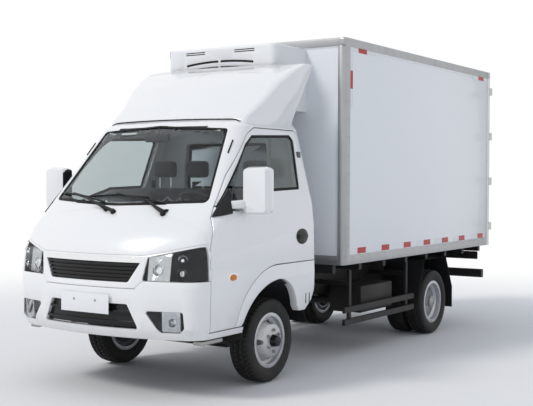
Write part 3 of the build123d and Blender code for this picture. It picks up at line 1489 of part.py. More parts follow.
with BuildPart() as door_locks_left:
    for height in strap_heights:
        low = height - strap_height / 2
        with BuildSketch(Plane.XY.offset(low)) as strap:
            with BuildLine():
                Polyline((door_outer_x - strap_length, box_rear_y),
                         (door_outer_x - strap_length, box_rear_y + strap_thickness),
                         (box_half_width - lug_radius, box_rear_y + strap_thickness),
                         (pin_x - lug_radius / 2, pin_y + lug_radius / 2),
                         (pin_x, pin_y), (pin_x + lug_radius / 2, pin_y - lug_radius / 2),
                         (box_half_width - lug_radius / 2, box_rear_y + touch),
                         (door_outer_x, box_rear_y + touch), (door_outer_x, box_rear_y), close=True)
            make_face()
            with Locations((pin_x, pin_y)):
                Circle(lug_radius)
        extrude(strap.sketch, amount=strap_height)
        rod((pin_x, pin_y, low - strap_gap), (pin_x, pin_y, low + strap_height + strap_gap),
            cargo_pin_radius + pin_clearance, mode=Mode.SUBTRACT)
    rod_y = box_rear_y + lock_rod_standoff
    lever_z = door_low_z + lever_height_share * (door_high_z - door_low_z)
    for x in lock_rod_xs:
        rod((x, rod_y, door_low_z - rod_end_reach / 2), (x, rod_y, door_high_z + rod_end_reach / 2),
            lock_rod_radius)
        for share in bearing_shares:
            z = door_low_z + share * (door_high_z - door_low_z)
            brick((x - bearing_width / 2, x + bearing_width / 2), (box_rear_y, rod_y),
                  (z - bearing_height / 2, z + bearing_height / 2))
        for z in (door_low_z - rod_end_reach / 2, door_high_z + rod_end_reach / 2 - cam_height):
            brick((x - cam_width / 2, x + cam_width / 2), (box_rear_y + keeper_gap, rod_y),
                  (z, z + cam_height))
        brick((x, x + lever_length), (rod_y - lever_thickness / 2, rod_y + lever_thickness / 2),
              (lever_z - lever_width / 2, lever_z + lever_width / 2))
        brick((x + lever_length - bearing_width, x + lever_length - bearing_width / 2),
              (box_rear_y, rod_y), (lever_z - bearing_height / 2, lever_z + bearing_height / 2))
save(door_locks_left, "door_locks_left")
save_mirrored(door_locks_left, "door_locks_right")

# Fridge unit on the box's front wall, with a rounded nose and air slots
unit_half_width = 550
unit_front_reach = 430
unit_low_z = 2110
unit_high_z = 2640
unit_radius = 60
slot_depth = 12
top_slot_width = 200
top_slot_height = 8
top_slot_centre = 250
arch_slot_half = 340
arch_slot_height = 18
arch_slot_pitch = 50
arch_slot_count = 6
arch_slot_top_z = 2530
arch_rise = 22
centre_bar_half = 12
bow_share = 0.25
unit_top_share = 0.33

with BuildPart() as reefer_unit:
    unit_front_y = aft(unit_front_reach)
    brick((-unit_half_width, unit_half_width), (unit_front_y, panel_front_y), (unit_low_z, unit_high_z))
    fillet(reefer_unit.edges().filter_by(Axis.Z).group_by(Axis.Y)[0], radius=unit_radius)
    fillet(reefer_unit.edges().group_by(Axis.Z)[-1].filter_by(lambda e: e.center().Y < panel_front_y - touch),
           radius=unit_top_share * unit_radius)
    for side in (-1, 1):
        for row in range(2):
            z = unit_high_z - unit_radius / 2 - row * 2 * top_slot_height
            brick((side * top_slot_centre - top_slot_width / 2, side * top_slot_centre + top_slot_width / 2),
                  (unit_front_y - overrun, unit_front_y + slot_depth), (z - top_slot_height, z),
                  mode=Mode.SUBTRACT)
    for row in range(arch_slot_count):
        z = arch_slot_top_z - row * arch_slot_pitch
        with BuildSketch(Plane.XZ.offset(-unit_front_y + overrun)) as slots:
            for side in (-1, 1):
                with BuildLine():
                    near = side * centre_bar_half
                    far = side * arch_slot_half
                    mid = (near + far) / 2
                    ThreePointArc((near, z), (mid, z - bow_share * arch_rise), (far, z - arch_rise))
                    Line((far, z - arch_rise), (far, z - arch_rise - arch_slot_height))
                    ThreePointArc((far, z - arch_rise - arch_slot_height),
                                  (mid, z - bow_share * arch_rise - arch_slot_height),
                                  (near, z - arch_slot_height))
                    Line((near, z - arch_slot_height), (near, z))
                make_face()
        extrude(slots.sketch, amount=-(overrun + slot_depth), mode=Mode.SUBTRACT)
save(reefer_unit, "reefer_unit")

# Evaporator under the ceiling inside the box, with its fan openings
evaporator_half_width = 500
evaporator_depth = 420
evaporator_height = 190
evaporator_foot_share = 0.8
fan_place_share = 0.4
fan_radius = 85
fan_depth = 40
fan_spacing = 320
fan_count = 3

with BuildPart() as evaporator:
    back_y = panel_front_y + box_wall
    plate([(back_y, roof_low_z), (back_y, roof_low_z - evaporator_height),
           (back_y + evaporator_foot_share * evaporator_depth, roof_low_z - evaporator_height),
           (back_y + evaporator_depth, roof_low_z - evaporator_height / 2),
           (back_y + evaporator_depth, roof_low_z)],
          Plane.YZ, evaporator_half_width, both=True)
    fan_y = back_y + fan_place_share * evaporator_depth
    fan_plane = Plane(origin=(0, fan_y, roof_low_z - evaporator_height),
                      x_dir=(1, 0, 0), z_dir=(0, 0, -1))
    with BuildSketch(fan_plane) as fans:
        with GridLocations(fan_spacing, 0, fan_count, 1):
            Circle(fan_radius)
    extrude(fans.sketch, amount=-fan_depth, mode=Mode.SUBTRACT)
save(evaporator, "evaporator")

# Underframe equipment: tank, battery box, exhaust, guards, rear bar and lamps, mudguards
tank_reach = 1560
tank_length = 640
tank_low_z = 340
tank_high_z = 590
tank_inner_x = 400
tank_outer_x = 690
tank_radius = 60
strap_width = 40
tank_strap_shares = (0.2, 0.8)
hanger_thickness = 10

with BuildPart() as fuel_tank:
    y = aft(tank_reach)
    plate([(-tank_outer_x, tank_low_z), (-tank_inner_x, tank_low_z), (-tank_inner_x, tank_high_z),
           (-tank_outer_x, tank_high_z)], Plane.XZ.offset(-y), -tank_length, tank_radius)
    for share in tank_strap_shares:
        band_y = y + share * tank_length
        brick((-tank_inner_x - hanger_thickness, -rail_inner_x - rail_width),
              (band_y - strap_width / 2, band_y + strap_width / 2),
              (rail_low_z, rail_low_z + strap_width))
save(fuel_tank, "fuel_tank")

battery_reach = 1560
battery_length = 620
battery_low_z = 350
battery_high_z = 590
battery_inner_x = 420
battery_outer_x = 740
battery_radius = 12
battery_strap_shares = (0.15, 0.85)

with BuildPart() as battery_box:
    y = aft(battery_reach)
    plate([(battery_inner_x, battery_low_z), (battery_outer_x, battery_low_z),
           (battery_outer_x, battery_high_z), (battery_inner_x, battery_high_z)],
          Plane.XZ.offset(-y), -battery_length, battery_radius)
    for share in battery_strap_shares:
        band_y = y + share * battery_length
        brick((rail_inner_x + rail_width, battery_inner_x + battery_radius),
              (band_y - strap_width / 2, band_y + strap_width / 2),
              (rail_low_z, rail_low_z + strap_width))
save(battery_box, "battery_box")

pipe_radius = 26
muffler_radius = 72
muffler_length = 520
muffler_reach = 980
exhaust_x = -205
exhaust_z = 415
exhaust_end_reach = 2480

with BuildPart() as exhaust:
    rod((exhaust_x, aft(engine_length - engine_front_reach), exhaust_z + pipe_radius),
        (exhaust_x, aft(muffler_reach), exhaust_z + pipe_radius), pipe_radius)
    rod((exhaust_x, aft(muffler_reach), exhaust_z),
        (exhaust_x, aft(muffler_reach) + muffler_length, exhaust_z), muffler_radius)
    rod((exhaust_x, aft(muffler_reach) + muffler_length, exhaust_z),
        (exhaust_x, aft(exhaust_end_reach), exhaust_z), pipe_radius)
    for reach in member_reaches[2:4]:
        brick((exhaust_x - hanger_thickness / 2, exhaust_x + hanger_thickness / 2),
              (aft(reach) - strap_width / 2, aft(reach) + strap_width / 2),
              (exhaust_z, rail_top_z - rail_wall - member_height))
save(exhaust, "exhaust")

guard_front_reach = 1147
guard_rear_reach = 2530
guard_x = 780
guard_bar_width = 26
guard_bar_height = 50
guard_low_z = 290
guard_bar_pitch = 105
guard_bar_count = 2
guard_post_width = 40
guard_post_reaches = (1290, 2420)

with BuildPart() as side_guards:
    for side in (-1, 1):
        for index in range(guard_bar_count):
            z = guard_low_z + index * guard_bar_pitch
            brick(sorted((side * guard_x, side * (guard_x + guard_bar_width))),
                  (aft(guard_front_reach), aft(guard_rear_reach)), (z, z + guard_bar_height))
        for reach in guard_post_reaches:
            y = aft(reach)
            brick(sorted((side * (guard_x - guard_bar_width), side * guard_x)),
                  (y - guard_post_width / 2, y + guard_post_width / 2), (guard_low_z, bearer_low_z))
            brick(sorted((side * (rail_inner_x + rail_width), side * guard_x)),
                  (y - guard_post_width / 2, y + guard_post_width / 2),
                  (rail_top_z - guard_post_width, rail_top_z))
save(side_guards, "side_guards")

bumper_bar_reach = 4120
bumper_bar_half = 872
bumper_bar_low_z = 470
bumper_bar_height = 90
bumper_bar_depth = 60
lamp_bar_half = 825
lamp_bar_z = 670
lamp_bar_height = 80
lamp_bar_depth = 12
tail_lamp_length = 230
tail_lamp_height = 82
tail_lamp_depth = 52
tail_lamp_out = 800

with BuildPart() as rear_bumper:
    y = aft(bumper_bar_reach)
    plate([(y, bumper_bar_low_z), (y + bumper_bar_depth, bumper_bar_low_z),
           (y + bumper_bar_depth, bumper_bar_low_z + bumper_bar_height),
           (y, bumper_bar_low_z + bumper_bar_height)], Plane.YZ, bumper_bar_half, lamp_bar_depth,
          both=True)
    for side in (-1, 1):
        x = side * (rail_inner_x + rail_width)
        brick(sorted((x, x + side * hanger_thickness)), (y - bumper_bar_depth, y + bumper_bar_depth / 2),
              (bumper_bar_low_z + bumper_bar_height / 2, rail_top_z - rail_wall))
        brick(sorted((x, side * lamp_bar_half)), (y, y + lamp_bar_depth),
              (lamp_bar_z, lamp_bar_z + lamp_bar_height))
        brick(sorted((x, x + side * hanger_thickness)), (y - bumper_bar_depth, y + lamp_bar_depth),
              (rail_top_z - rail_wall - hanger_thickness, lamp_bar_z + lamp_bar_height))
save(rear_bumper, "rear_bumper")

with BuildPart() as tail_lamps:
    for side in (-1, 1):
        low_x = side * tail_lamp_out
        high_x = side * (tail_lamp_out - tail_lamp_length)
        brick(sorted((low_x, high_x)),
              (y + lamp_bar_depth, y + lamp_bar_depth + tail_lamp_depth),
              (lamp_bar_z, lamp_bar_z + tail_lamp_height))
    fillet(tail_lamps.edges().filter_by(Axis.Y), radius=lamp_bar_depth)
save(tail_lamps, "tail_lamps")

mudguard_low_reach = 388
mudguard_low_rise = 112
mudguard_top_reach = 258
mudguard_thickness = 6
mudguard_inner_x = 425
mudguard_outer_x = 845
flap_low_z = 225
flap_reach = 420

with BuildPart() as mudguards:
    top_z = bearer_low_z - touch
    outline = [(-mudguard_low_reach, tyre_radius + mudguard_low_rise), (-mudguard_top_reach, top_z),
               (mudguard_top_reach, top_z), (flap_reach, tyre_radius + mudguard_low_rise),
               (flap_reach, flap_low_z)]
    for side in (-1, 1):
        with BuildSketch(Plane.YZ.offset(side * mudguard_inner_x)) as arch:
            with BuildLine():
                Polyline(*[(rear_axle_y + along, up) for along, up in outline],
                         (rear_axle_y + flap_reach + mudguard_thickness, flap_low_z),
                         (rear_axle_y + flap_reach + mudguard_thickness,
                          tyre_radius + mudguard_low_rise + mudguard_thickness),
                         (rear_axle_y + mudguard_top_reach + mudguard_thickness / 2,
                          top_z + touch),
                         (rear_axle_y - mudguard_top_reach - mudguard_thickness / 2,
                          top_z + touch),
                         (rear_axle_y - mudguard_low_reach - mudguard_thickness,
                          tyre_radius + mudguard_low_rise), close=True)
            make_face()
        extrude(arch.sketch, amount=side * (mudguard_outer_x - mudguard_inner_x))
save(mudguards, "mudguards")
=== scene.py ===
# %% [markdown]
# # A light refrigerated truck, dressed around its measured frame
# The frame brings every panel, beam, wheel and door at its real size and place. This lesson gives
# each of them the finish of the real one, and models what is too fine for the frame: rubber
# seals, lamp insides, tyre tread, nuts, rivets, marking tape and soft seats. Nothing in the frame
# is moved: a panel that needs a softer edge gets a copy that stands in its place.

# %% Load the frame
import json
from math import atan2, cos, pi, radians, sin, sqrt

import bmesh
import bpy
from mathutils import Matrix, Vector
from mathutils.bvhtree import BVHTree


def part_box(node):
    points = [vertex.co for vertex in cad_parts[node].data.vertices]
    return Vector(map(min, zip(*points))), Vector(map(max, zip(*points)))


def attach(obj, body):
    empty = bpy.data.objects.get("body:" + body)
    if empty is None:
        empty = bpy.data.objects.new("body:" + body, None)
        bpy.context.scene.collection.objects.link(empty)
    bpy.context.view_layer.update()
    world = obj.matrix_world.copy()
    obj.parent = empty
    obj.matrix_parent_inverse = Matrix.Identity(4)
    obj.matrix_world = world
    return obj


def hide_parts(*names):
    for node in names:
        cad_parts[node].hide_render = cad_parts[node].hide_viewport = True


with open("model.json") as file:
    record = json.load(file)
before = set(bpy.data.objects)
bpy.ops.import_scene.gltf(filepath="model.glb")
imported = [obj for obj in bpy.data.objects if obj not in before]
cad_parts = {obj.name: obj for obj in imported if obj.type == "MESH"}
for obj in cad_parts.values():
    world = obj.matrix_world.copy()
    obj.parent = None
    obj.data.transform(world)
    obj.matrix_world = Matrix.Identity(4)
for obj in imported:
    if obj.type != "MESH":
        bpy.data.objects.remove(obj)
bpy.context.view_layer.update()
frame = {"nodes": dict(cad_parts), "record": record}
nodes = frame["nodes"]
body_of_node = {node: body for body, names in frame["record"]["behaviour"]["bodies"].items()
                for node in names}

# %% [markdown]
# ## Camera, floor and light
# The photograph was taken at eye height, a few metres off the truck's front corner, with a
# moderate lens. The camera below stands where lines through the wheels, the box's edges and the
# cab's corners meet. Its place is given from the front axle, because all sizes were measured
# from there.

# %% Place the camera
tyre_low, tyre_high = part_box("front_tyre_left")
front_axle_y = (tyre_low.y + tyre_high.y) / 2
tyre_radius = (tyre_high.z - tyre_low.z) / 2
eye = Vector((4.9196, front_axle_y - 6.3424, 1.5414))
turn, dip, tilt = radians(33.287), radians(1.3616), radians(0.17)
focal_pixels = 1000.66
image_width = 533
sensor_width = 36

camera_data = bpy.data.cameras.new("camera")
camera = bpy.data.objects.new("camera", camera_data)
bpy.context.collection.objects.link(camera)
camera_data.sensor_width = sensor_width
camera_data.lens = focal_pixels / image_width * sensor_width
camera.matrix_world = (Matrix.Translation(eye) @ Matrix.Rotation(turn, 4, "Z")
                       @ Matrix.Rotation(pi / 2 - dip, 4, "X") @ Matrix.Rotation(tilt, 4, "Z"))
bpy.context.scene.camera = camera
bpy.context.scene.view_settings.view_transform = "Standard"
print("lens", round(camera_data.lens, 2))

# %% [markdown]
# A pale floor and a broad, even sky keep nearly all whites below clipping. One soft sun from the
# truck's front right lights the nose and leaves the driver's side in a cooler shade.

# %% Light the scene
def wire(tree, node, **sockets):
    """Sets or links a node's sockets; an underscore in a name stands for a space."""
    for name, value in sockets.items():
        socket = node.inputs[name.replace("_", " ")]
        if isinstance(value, bpy.types.NodeSocket):
            tree.links.new(value, socket)
        else:
            socket.default_value = value
    return node


def add_node(tree, kind, **sockets):
    """A new shader node with its sockets set or linked."""
    return wire(tree, tree.nodes.new("ShaderNode" + kind), **sockets)


def worked_out(tree, operation, first, second):
    """The result of one sum on two sockets."""
    result = tree.nodes.new("ShaderNodeMath")
    result.operation = operation
    tree.links.new(first, result.inputs[0])
    tree.links.new(second, result.inputs[1])
    return result.outputs["Value"]


def seen_rays(tree):
    """A socket that is 1 for camera, mirror and glass rays."""
    path = add_node(tree, "LightPath")
    seen = path.outputs["Is Camera Ray"]
    for ray in ("Is Glossy Ray", "Is Transmission Ray"):
        seen = worked_out(tree, "MAXIMUM", seen, path.outputs[ray])
    return seen


world = bpy.data.worlds.new("studio")
bpy.context.scene.world = world
world.use_nodes = True
sky = world.node_tree
sky.nodes.clear()
shade = add_node(sky, "Background", Color=(0.86, 0.91, 1.0, 1), Strength=0.69)
plain = add_node(sky, "Background", Color=(1, 1, 1, 1))
either = add_node(sky, "MixShader", Fac=seen_rays(sky))
sky.links.new(shade.outputs[0], either.inputs[1])
sky.links.new(plain.outputs[0], either.inputs[2])
add_node(sky, "OutputWorld", Surface=either.outputs[0])

sun_data = bpy.data.lights.new("sun", "SUN")
sun_data.energy = 1.22
sun_data.angle = radians(14)
sun_data.color = (1.0, 0.97, 0.92)
sun = bpy.data.objects.new("sun", sun_data)
bpy.context.collection.objects.link(sun)
sun.rotation_euler = Vector((0.42, 0.80, -0.85)).to_track_quat("-Z", "Y").to_euler()

# %% [markdown]
# ## Finishes
# A finish is a small node tree on Object coordinates, so it keeps its scale on every piece and
# doesn't slide. Each one mixes two near tones by a slow noise, varies its roughness, and adds a
# fine bump. What is the same all over sits on the shader's own socket.

# %% A helper for finishes
def mix_tones(tree, first, second, share):
    """A node that mixes two tones by a share."""
    tone = tree.nodes.new("ShaderNodeMix")
    tone.data_type = "RGBA"
    return wire(tree, tone, A=first, B=second, Factor=share)


def add_bump(tree, height, depth):
    """Lets a height raise the surface's shading by up to a depth."""
    bump = add_node(tree, "Bump", Distance=depth, Height=height)
    wire(tree, tree.nodes["Principled BSDF"], Normal=bump.outputs["Normal"])


def new_finish(name, tones, roughness, metallic=0.0, coat=0.0, drift=2.0, grain=400.0,
               depth=0.0, stretch=(1, 1, 1), spread=0.06, shine=0.5):
    """A finish with two tones mixed by slow noise, uneven gloss and a fine grain."""
    material = bpy.data.materials.new(name)
    material.use_nodes = True
    tree = material.node_tree
    shader = tree.nodes["Principled BSDF"]
    wire(tree, shader, Metallic=metallic, Coat_Weight=coat, Coat_Roughness=0.05,
         Specular_IOR_Level=shine)
    place = add_node(tree, "TexCoord").outputs["Object"]
    scale = add_node(tree, "Mapping", Scale=stretch, Vector=place)
    slow = add_node(tree, "TexNoise", Scale=drift, Detail=4, Vector=place)
    fine = add_node(tree, "TexNoise", Scale=grain, Vector=scale.outputs["Vector"])
    tone = mix_tones(tree, (*tones[0], 1), (*tones[1], 1), slow.outputs["Fac"])
    gloss = add_node(tree, "MapRange", To_Min=max(roughness - spread, 0.02),
                     To_Max=roughness + spread, Value=fine.outputs["Fac"])
    wire(tree, shader, Base_Color=tone.outputs["Result"], Roughness=gloss.outputs["Result"])
    if depth:
        add_bump(tree, fine.outputs["Fac"], depth)
    return material


def road_dust(material, low, high, dust, amount):
    """Lays a thin film of dust over a finish, thickest at the lower height."""
    tree = material.node_tree
    place = tree.nodes["Texture Coordinate"].outputs["Object"]
    apart = add_node(tree, "SeparateXYZ", Vector=place)
    fall = add_node(tree, "MapRange", From_Min=high, From_Max=low, To_Max=amount,
                    Value=apart.outputs["Z"])
    patches = add_node(tree, "TexNoise", Scale=9, Detail=6, Vector=place)
    film = worked_out(tree, "MULTIPLY", fall.outputs["Result"], patches.outputs["Fac"])
    cover = mix_tones(tree, tree.nodes["Mix"].outputs["Result"], (*dust, 1), film)
    wire(tree, tree.nodes["Principled BSDF"], Base_Color=cover.outputs["Result"])
    return material


# %% [markdown]
# Cab and box share a white gloss paint with a clear coat. The box panels are a little bluer and
# flatter, because they are rolled sheet bonded to foam. Dust gathers low on the cab.

# %% Paints and panels
dust_tone = (0.42, 0.40, 0.37)
white_paint = road_dust(
    new_finish("white_paint", ((0.86, 0.865, 0.87), (0.83, 0.84, 0.85)), 0.20, coat=0.7,
               grain=180, depth=0.00012), 0.42, 0.75, dust_tone, 0.35)
box_white = new_finish("box_white", ((0.82, 0.84, 0.87), (0.79, 0.82, 0.86)), 0.30, coat=0.25,
                       drift=1.2, grain=60, depth=0.0004)
unit_white = new_finish("unit_white", ((0.85, 0.855, 0.86), (0.82, 0.83, 0.84)), 0.38, drift=4,
                        grain=900, depth=0.00008)
chassis_black = road_dust(
    new_finish("chassis_black", ((0.009, 0.009, 0.010), (0.016, 0.015, 0.015)), 0.50, drift=7,
               grain=700, depth=0.0002, spread=0.15, shine=0.3), 0.15, 0.9, (0.10, 0.09, 0.08), 0.3)
tank_paint = road_dust(
    new_finish("tank_paint", ((0.02, 0.02, 0.021), (0.032, 0.032, 0.032)), 0.38, drift=6, grain=500,
               depth=0.0001, shine=0.35), 0.3, 0.7, (0.13, 0.12, 0.11), 0.3)
rim_paint = road_dust(
    new_finish("rim_paint", ((0.50, 0.51, 0.53), (0.58, 0.59, 0.60)), 0.40, metallic=0.55,
               drift=14, grain=1200, depth=0.00006), 0.05, 0.55, (0.20, 0.19, 0.18), 0.35)

# %% [markdown]
# Extruded aluminium, folded stainless steel and heat-stained exhaust pipe are metals: the base
# tone is the reflection's tint, and a stretched grain stands for the brushing or the die lines.

# %% Metals
rail_metal = new_finish("rail_metal", ((0.36, 0.37, 0.38), (0.45, 0.46, 0.47)), 0.40,
                        metallic=0.75, drift=5, grain=300, depth=0.0001, stretch=(1, 0.05, 1))
stainless_metal = new_finish("stainless_metal", ((0.62, 0.62, 0.62), (0.55, 0.55, 0.56)), 0.30,
                             metallic=1.0, drift=6, grain=350, depth=0.0001, stretch=(1, 1, 0.04))
exhaust_metal = new_finish("exhaust_metal", ((0.30, 0.25, 0.20), (0.16, 0.12, 0.10)), 0.55,
                           metallic=0.8, drift=11, grain=400, depth=0.0004, spread=0.2)
chrome = new_finish("chrome", ((0.86, 0.87, 0.88), (0.80, 0.81, 0.82)), 0.08, metallic=1.0,
                    drift=20, grain=900, spread=0.03)
lamp_silver = new_finish("lamp_silver", ((0.46, 0.47, 0.48), (0.66, 0.67, 0.68)), 0.14,
                         metallic=1.0, drift=38, grain=75, depth=0.002, stretch=(1, 1, 0.04))
bolt_metal = new_finish("bolt_metal", ((0.45, 0.45, 0.44), (0.30, 0.29, 0.28)), 0.40,
                        metallic=0.9, drift=60, grain=900, spread=0.12)

# %% [markdown]
# Mouldings, rubber and cloth. Black trim is a grained plastic, tyres are rubber with brown dust
# that thickens towards the ground, and the seats have a woven cloth made of two crossing waves.

# %% Plastics, rubber and cloth
black_plastic = new_finish("black_plastic", ((0.010, 0.010, 0.011), (0.017, 0.017, 0.018)), 0.50,
                           drift=8, grain=1500, depth=0.0002, shine=0.25)
gloss_black = new_finish("gloss_black", ((0.008, 0.008, 0.009), (0.013, 0.013, 0.014)), 0.20,
                         drift=9, grain=500, spread=0.05, shine=0.3)
seal_rubber_and_slot_shade = new_finish("seal_rubber_and_slot_shade", ((0.006, 0.006, 0.006), (0.011, 0.011, 0.011)), 0.6,
                         drift=20, grain=900, depth=0.0001, shine=0.2)
dash_plastic = new_finish("dash_plastic", ((0.10, 0.10, 0.105), (0.13, 0.13, 0.135)), 0.62,
                          drift=5, grain=1800, depth=0.0003)
floor_rubber = new_finish("floor_rubber", ((0.03, 0.03, 0.03), (0.05, 0.048, 0.045)), 0.75,
                          drift=9, grain=600, depth=0.0006)
tyre_rubber = road_dust(
    new_finish("tyre_rubber", ((0.010, 0.010, 0.011), (0.018, 0.018, 0.017)), 0.65, drift=12,
               grain=500, depth=0.0003, spread=0.12, shine=0.3), 0.0, 0.7, (0.10, 0.09, 0.08), 0.25)
plate_white = new_finish("plate_white", ((0.84, 0.85, 0.86), (0.80, 0.81, 0.82)), 0.30, drift=12,
                         grain=700, depth=0.00005)
grey_lining = new_finish("grey_lining", ((0.45, 0.45, 0.44), (0.50, 0.50, 0.49)), 0.8, drift=7,
                         grain=1400, depth=0.0003)


def woven(name, dark, light):
    """Seat cloth: two crossing waves under a slow change of tone."""
    material = new_finish(name, (dark, light), 0.9, drift=30, grain=900, spread=0.05)
    tree = material.node_tree
    wire(tree, tree.nodes["Principled BSDF"], Sheen_Weight=0.3)
    heights = []
    for direction in ("X", "Z"):
        wave = add_node(tree, "TexWave", Scale=160, Distortion=0.6,
                        Vector=tree.nodes["Texture Coordinate"].outputs["Object"])
        wave.bands_direction = direction
        heights.append(wave.outputs["Fac"])
    add_bump(tree, worked_out(tree, "MAXIMUM", *heights), 0.0008)
    return material


seat_cloth = woven("seat_cloth", (0.09, 0.09, 0.10), (0.14, 0.14, 0.15))
headrest_cloth = woven("headrest_cloth", (0.11, 0.11, 0.12), (0.16, 0.16, 0.17))

# %% [markdown]
# Glass lets light through, and its tint is its own base colour. The lamps' outer lenses are
# clear, the tail and marker lenses are coloured plastic with small prisms that show as bump.
# Marking tape is a retroreflective film: a honeycomb of cells under a clear coat.

# %% Glass, lenses and tape
def clear_finish(name, tint, roughness, ior=1.45):
    """See-through glass or plastic with a faint smear in its gloss."""
    material = new_finish(name, (tint, tuple(0.97 * part for part in tint)), roughness, drift=6,
                          grain=40, spread=0.01)
    tree = material.node_tree
    wire(tree, tree.nodes["Principled BSDF"], Transmission_Weight=1.0, IOR=ior)
    return material


def prism_finish(name, tint, light):
    """A coloured lens with rows of small prisms."""
    material = new_finish(name, (tint, light), 0.25, drift=25, grain=300, shine=0.35)
    tree = material.node_tree
    cells = add_node(tree, "TexVoronoi", Scale=160,
                     Vector=tree.nodes["Texture Coordinate"].outputs["Object"])
    add_bump(tree, cells.outputs["Distance"], 0.001)
    return material


window_glass = clear_finish("window_glass", (0.66, 0.71, 0.72), 0.02, 1.25)
lens_clear = clear_finish("lens_clear", (0.95, 0.97, 0.98), 0.02, 1.16)
red_lens = prism_finish("red_lens", (0.42, 0.012, 0.012), (0.55, 0.02, 0.02))
amber_lens = prism_finish("amber_lens", (0.62, 0.17, 0.02), (0.75, 0.24, 0.03))
white_lens = prism_finish("white_lens", (0.72, 0.74, 0.76), (0.80, 0.82, 0.84))
tape_red = prism_finish("tape_red", (0.42, 0.006, 0.010), (0.50, 0.010, 0.015))
tape_white = prism_finish("tape_white", (0.74, 0.76, 0.80), (0.80, 0.82, 0.85))
print(len(bpy.data.materials), "finishes")

# %% [markdown]
# ## Modelling helpers
# Everything new starts as a primitive at its real size and place, and is shaped by the same
# operators that a person would use. Before each step all is deselected, since an operator acts
# on whatever is selected.

# %% Select, settle and join
def pick(*pieces):
    """Selects these pieces alone; the first one is active."""
    if bpy.context.mode != "OBJECT":
        bpy.ops.object.mode_set(mode="OBJECT")
    bpy.ops.object.select_all(action="DESELECT")
    for piece in pieces:
        piece.select_set(True)
    bpy.context.view_layer.objects.active = pieces[0]
    return pieces[0]


def edit(piece):
    """Opens one piece in edit mode with all of it selected."""
    pick(piece)
    bpy.ops.object.mode_set(mode="EDIT")
    bpy.ops.mesh.select_all(action="SELECT")


def choose_faces(piece, test):
    """In edit mode, selects the faces that pass a test and nothing else."""
    bpy.ops.mesh.select_mode(type="FACE")
    bpy.ops.mesh.select_all(action="DESELECT")
    mesh = bmesh.from_edit_mesh(piece.data)
    for face in mesh.faces:
        face.select_set(bool(test(face)))
    bmesh.update_edit_mesh(piece.data)


def done():
    """Leaves edit mode."""
    bpy.ops.object.mode_set(mode="OBJECT")


def joined(pieces):
    """Makes one piece of several."""
    pick(*pieces)
    if len(pieces) > 1:
        bpy.ops.object.join()
    return bpy.context.view_layer.objects.active


def settle(piece, name, body, finish, smooth=30):
    """Names a piece, puts its place in its mesh and hands it to its body."""
    pick(piece)
    bpy.ops.object.transform_apply(location=True, rotation=True, scale=True)
    bpy.ops.object.shade_smooth_by_angle(angle=radians(smooth))
    piece.name = name
    piece.data.name = name
    piece.data.materials.clear()
    piece.data.materials.append(finish)
    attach(piece, body)
    return piece


def shaped(piece, kind, **settings):
    """Adds one modifier to a piece and applies it."""
    change = piece.modifiers.new(kind.lower(), kind)
    for setting, value in settings.items():
        setattr(change, setting, value)
    pick(piece)
    bpy.ops.object.modifier_apply(modifier=change.name)


def oval(piece, stretch, centre):
    """Stretches a piece along the axes, from a centre."""
    pick(piece)
    bpy.ops.transform.resize(value=stretch, center_override=centre, orient_type="GLOBAL")
    bpy.ops.object.transform_apply(location=True, rotation=True, scale=True)


# %% Blocks and rounds
def block(low, high, rounding=0.003, segments=2):
    """A box between two corners with rounded edges."""
    bpy.ops.object.select_all(action="DESELECT")
    bpy.ops.mesh.primitive_cube_add(size=1, location=[(a + b) / 2 for a, b in zip(low, high)])
    piece = bpy.context.active_object
    piece.scale = [abs(b - a) for a, b in zip(low, high)]
    bpy.ops.object.transform_apply(location=False, rotation=False, scale=True)
    edit(piece)
    bpy.ops.mesh.bevel(offset=rounding, segments=segments, affect="EDGES")
    done()
    return piece


def round_bar(start, end, radius, sides=24, rounding=0.0, tip_share=1.0):
    """A round bar between two points, with softened or tapered ends."""
    start, end = Vector(start), Vector(end)
    run = end - start
    bpy.ops.object.select_all(action="DESELECT")
    bpy.ops.mesh.primitive_cone_add(vertices=sides, radius1=radius, radius2=radius * tip_share,
                                    depth=run.length, location=(start + end) / 2,
                                    rotation=run.to_track_quat("Z", "Y").to_euler())
    piece = bpy.context.active_object
    if rounding:
        edit(piece)
        choose_faces(piece, lambda face: len(face.verts) > 4)
        bpy.ops.mesh.bevel(offset=rounding, segments=2, affect="EDGES")
        done()
    return piece


def repeated(piece, moves):
    """Copies of one piece at many offsets, each with its own mesh, as one piece."""
    copies = [piece]
    for move in moves:
        twin = piece.copy()
        twin.data = piece.data.copy()
        twin.location = piece.location + Vector(move)
        bpy.context.collection.objects.link(twin)
        copies.append(twin)
    return joined(copies)


def mirrored(piece):
    """The same piece on the truck's other side."""
    twin = piece.copy()
    twin.data = piece.data.copy()
    bpy.context.collection.objects.link(twin)
    edit(twin)
    bpy.ops.transform.mirror(constraint_axis=(True, False, False), center_override=(0, 0, 0),
                             orient_type="GLOBAL")
    bpy.ops.mesh.flip_normals()
    done()
    return twin


def on_both_sides(piece, name, body, finish, smooth=30):
    """Settles a piece on the left and its mirror image on the right."""
    other = mirrored(piece)
    for part, side in ((piece, "left"), (other, "right")):
        carrier = body if body == "root" else body + side
        settle(part, f"{name}_{side}", carrier, finish, smooth)


def drawn(points):
    """A line of edges through points, left open in edit mode."""
    bpy.ops.object.select_all(action="DESELECT")
    bpy.ops.mesh.primitive_plane_add(size=0.01, location=points[0])
    piece = bpy.context.active_object
    bpy.ops.object.transform_apply(location=True, rotation=True, scale=True)
    edit(piece)
    bpy.ops.mesh.select_mode(type="VERT")
    bpy.ops.mesh.merge(type="CENTER")
    for here, there in zip(points, points[1:]):
        step = Vector(there) - Vector(here)
        bpy.ops.mesh.extrude_region_move(TRANSFORM_OT_translate={"value": step})
    return piece


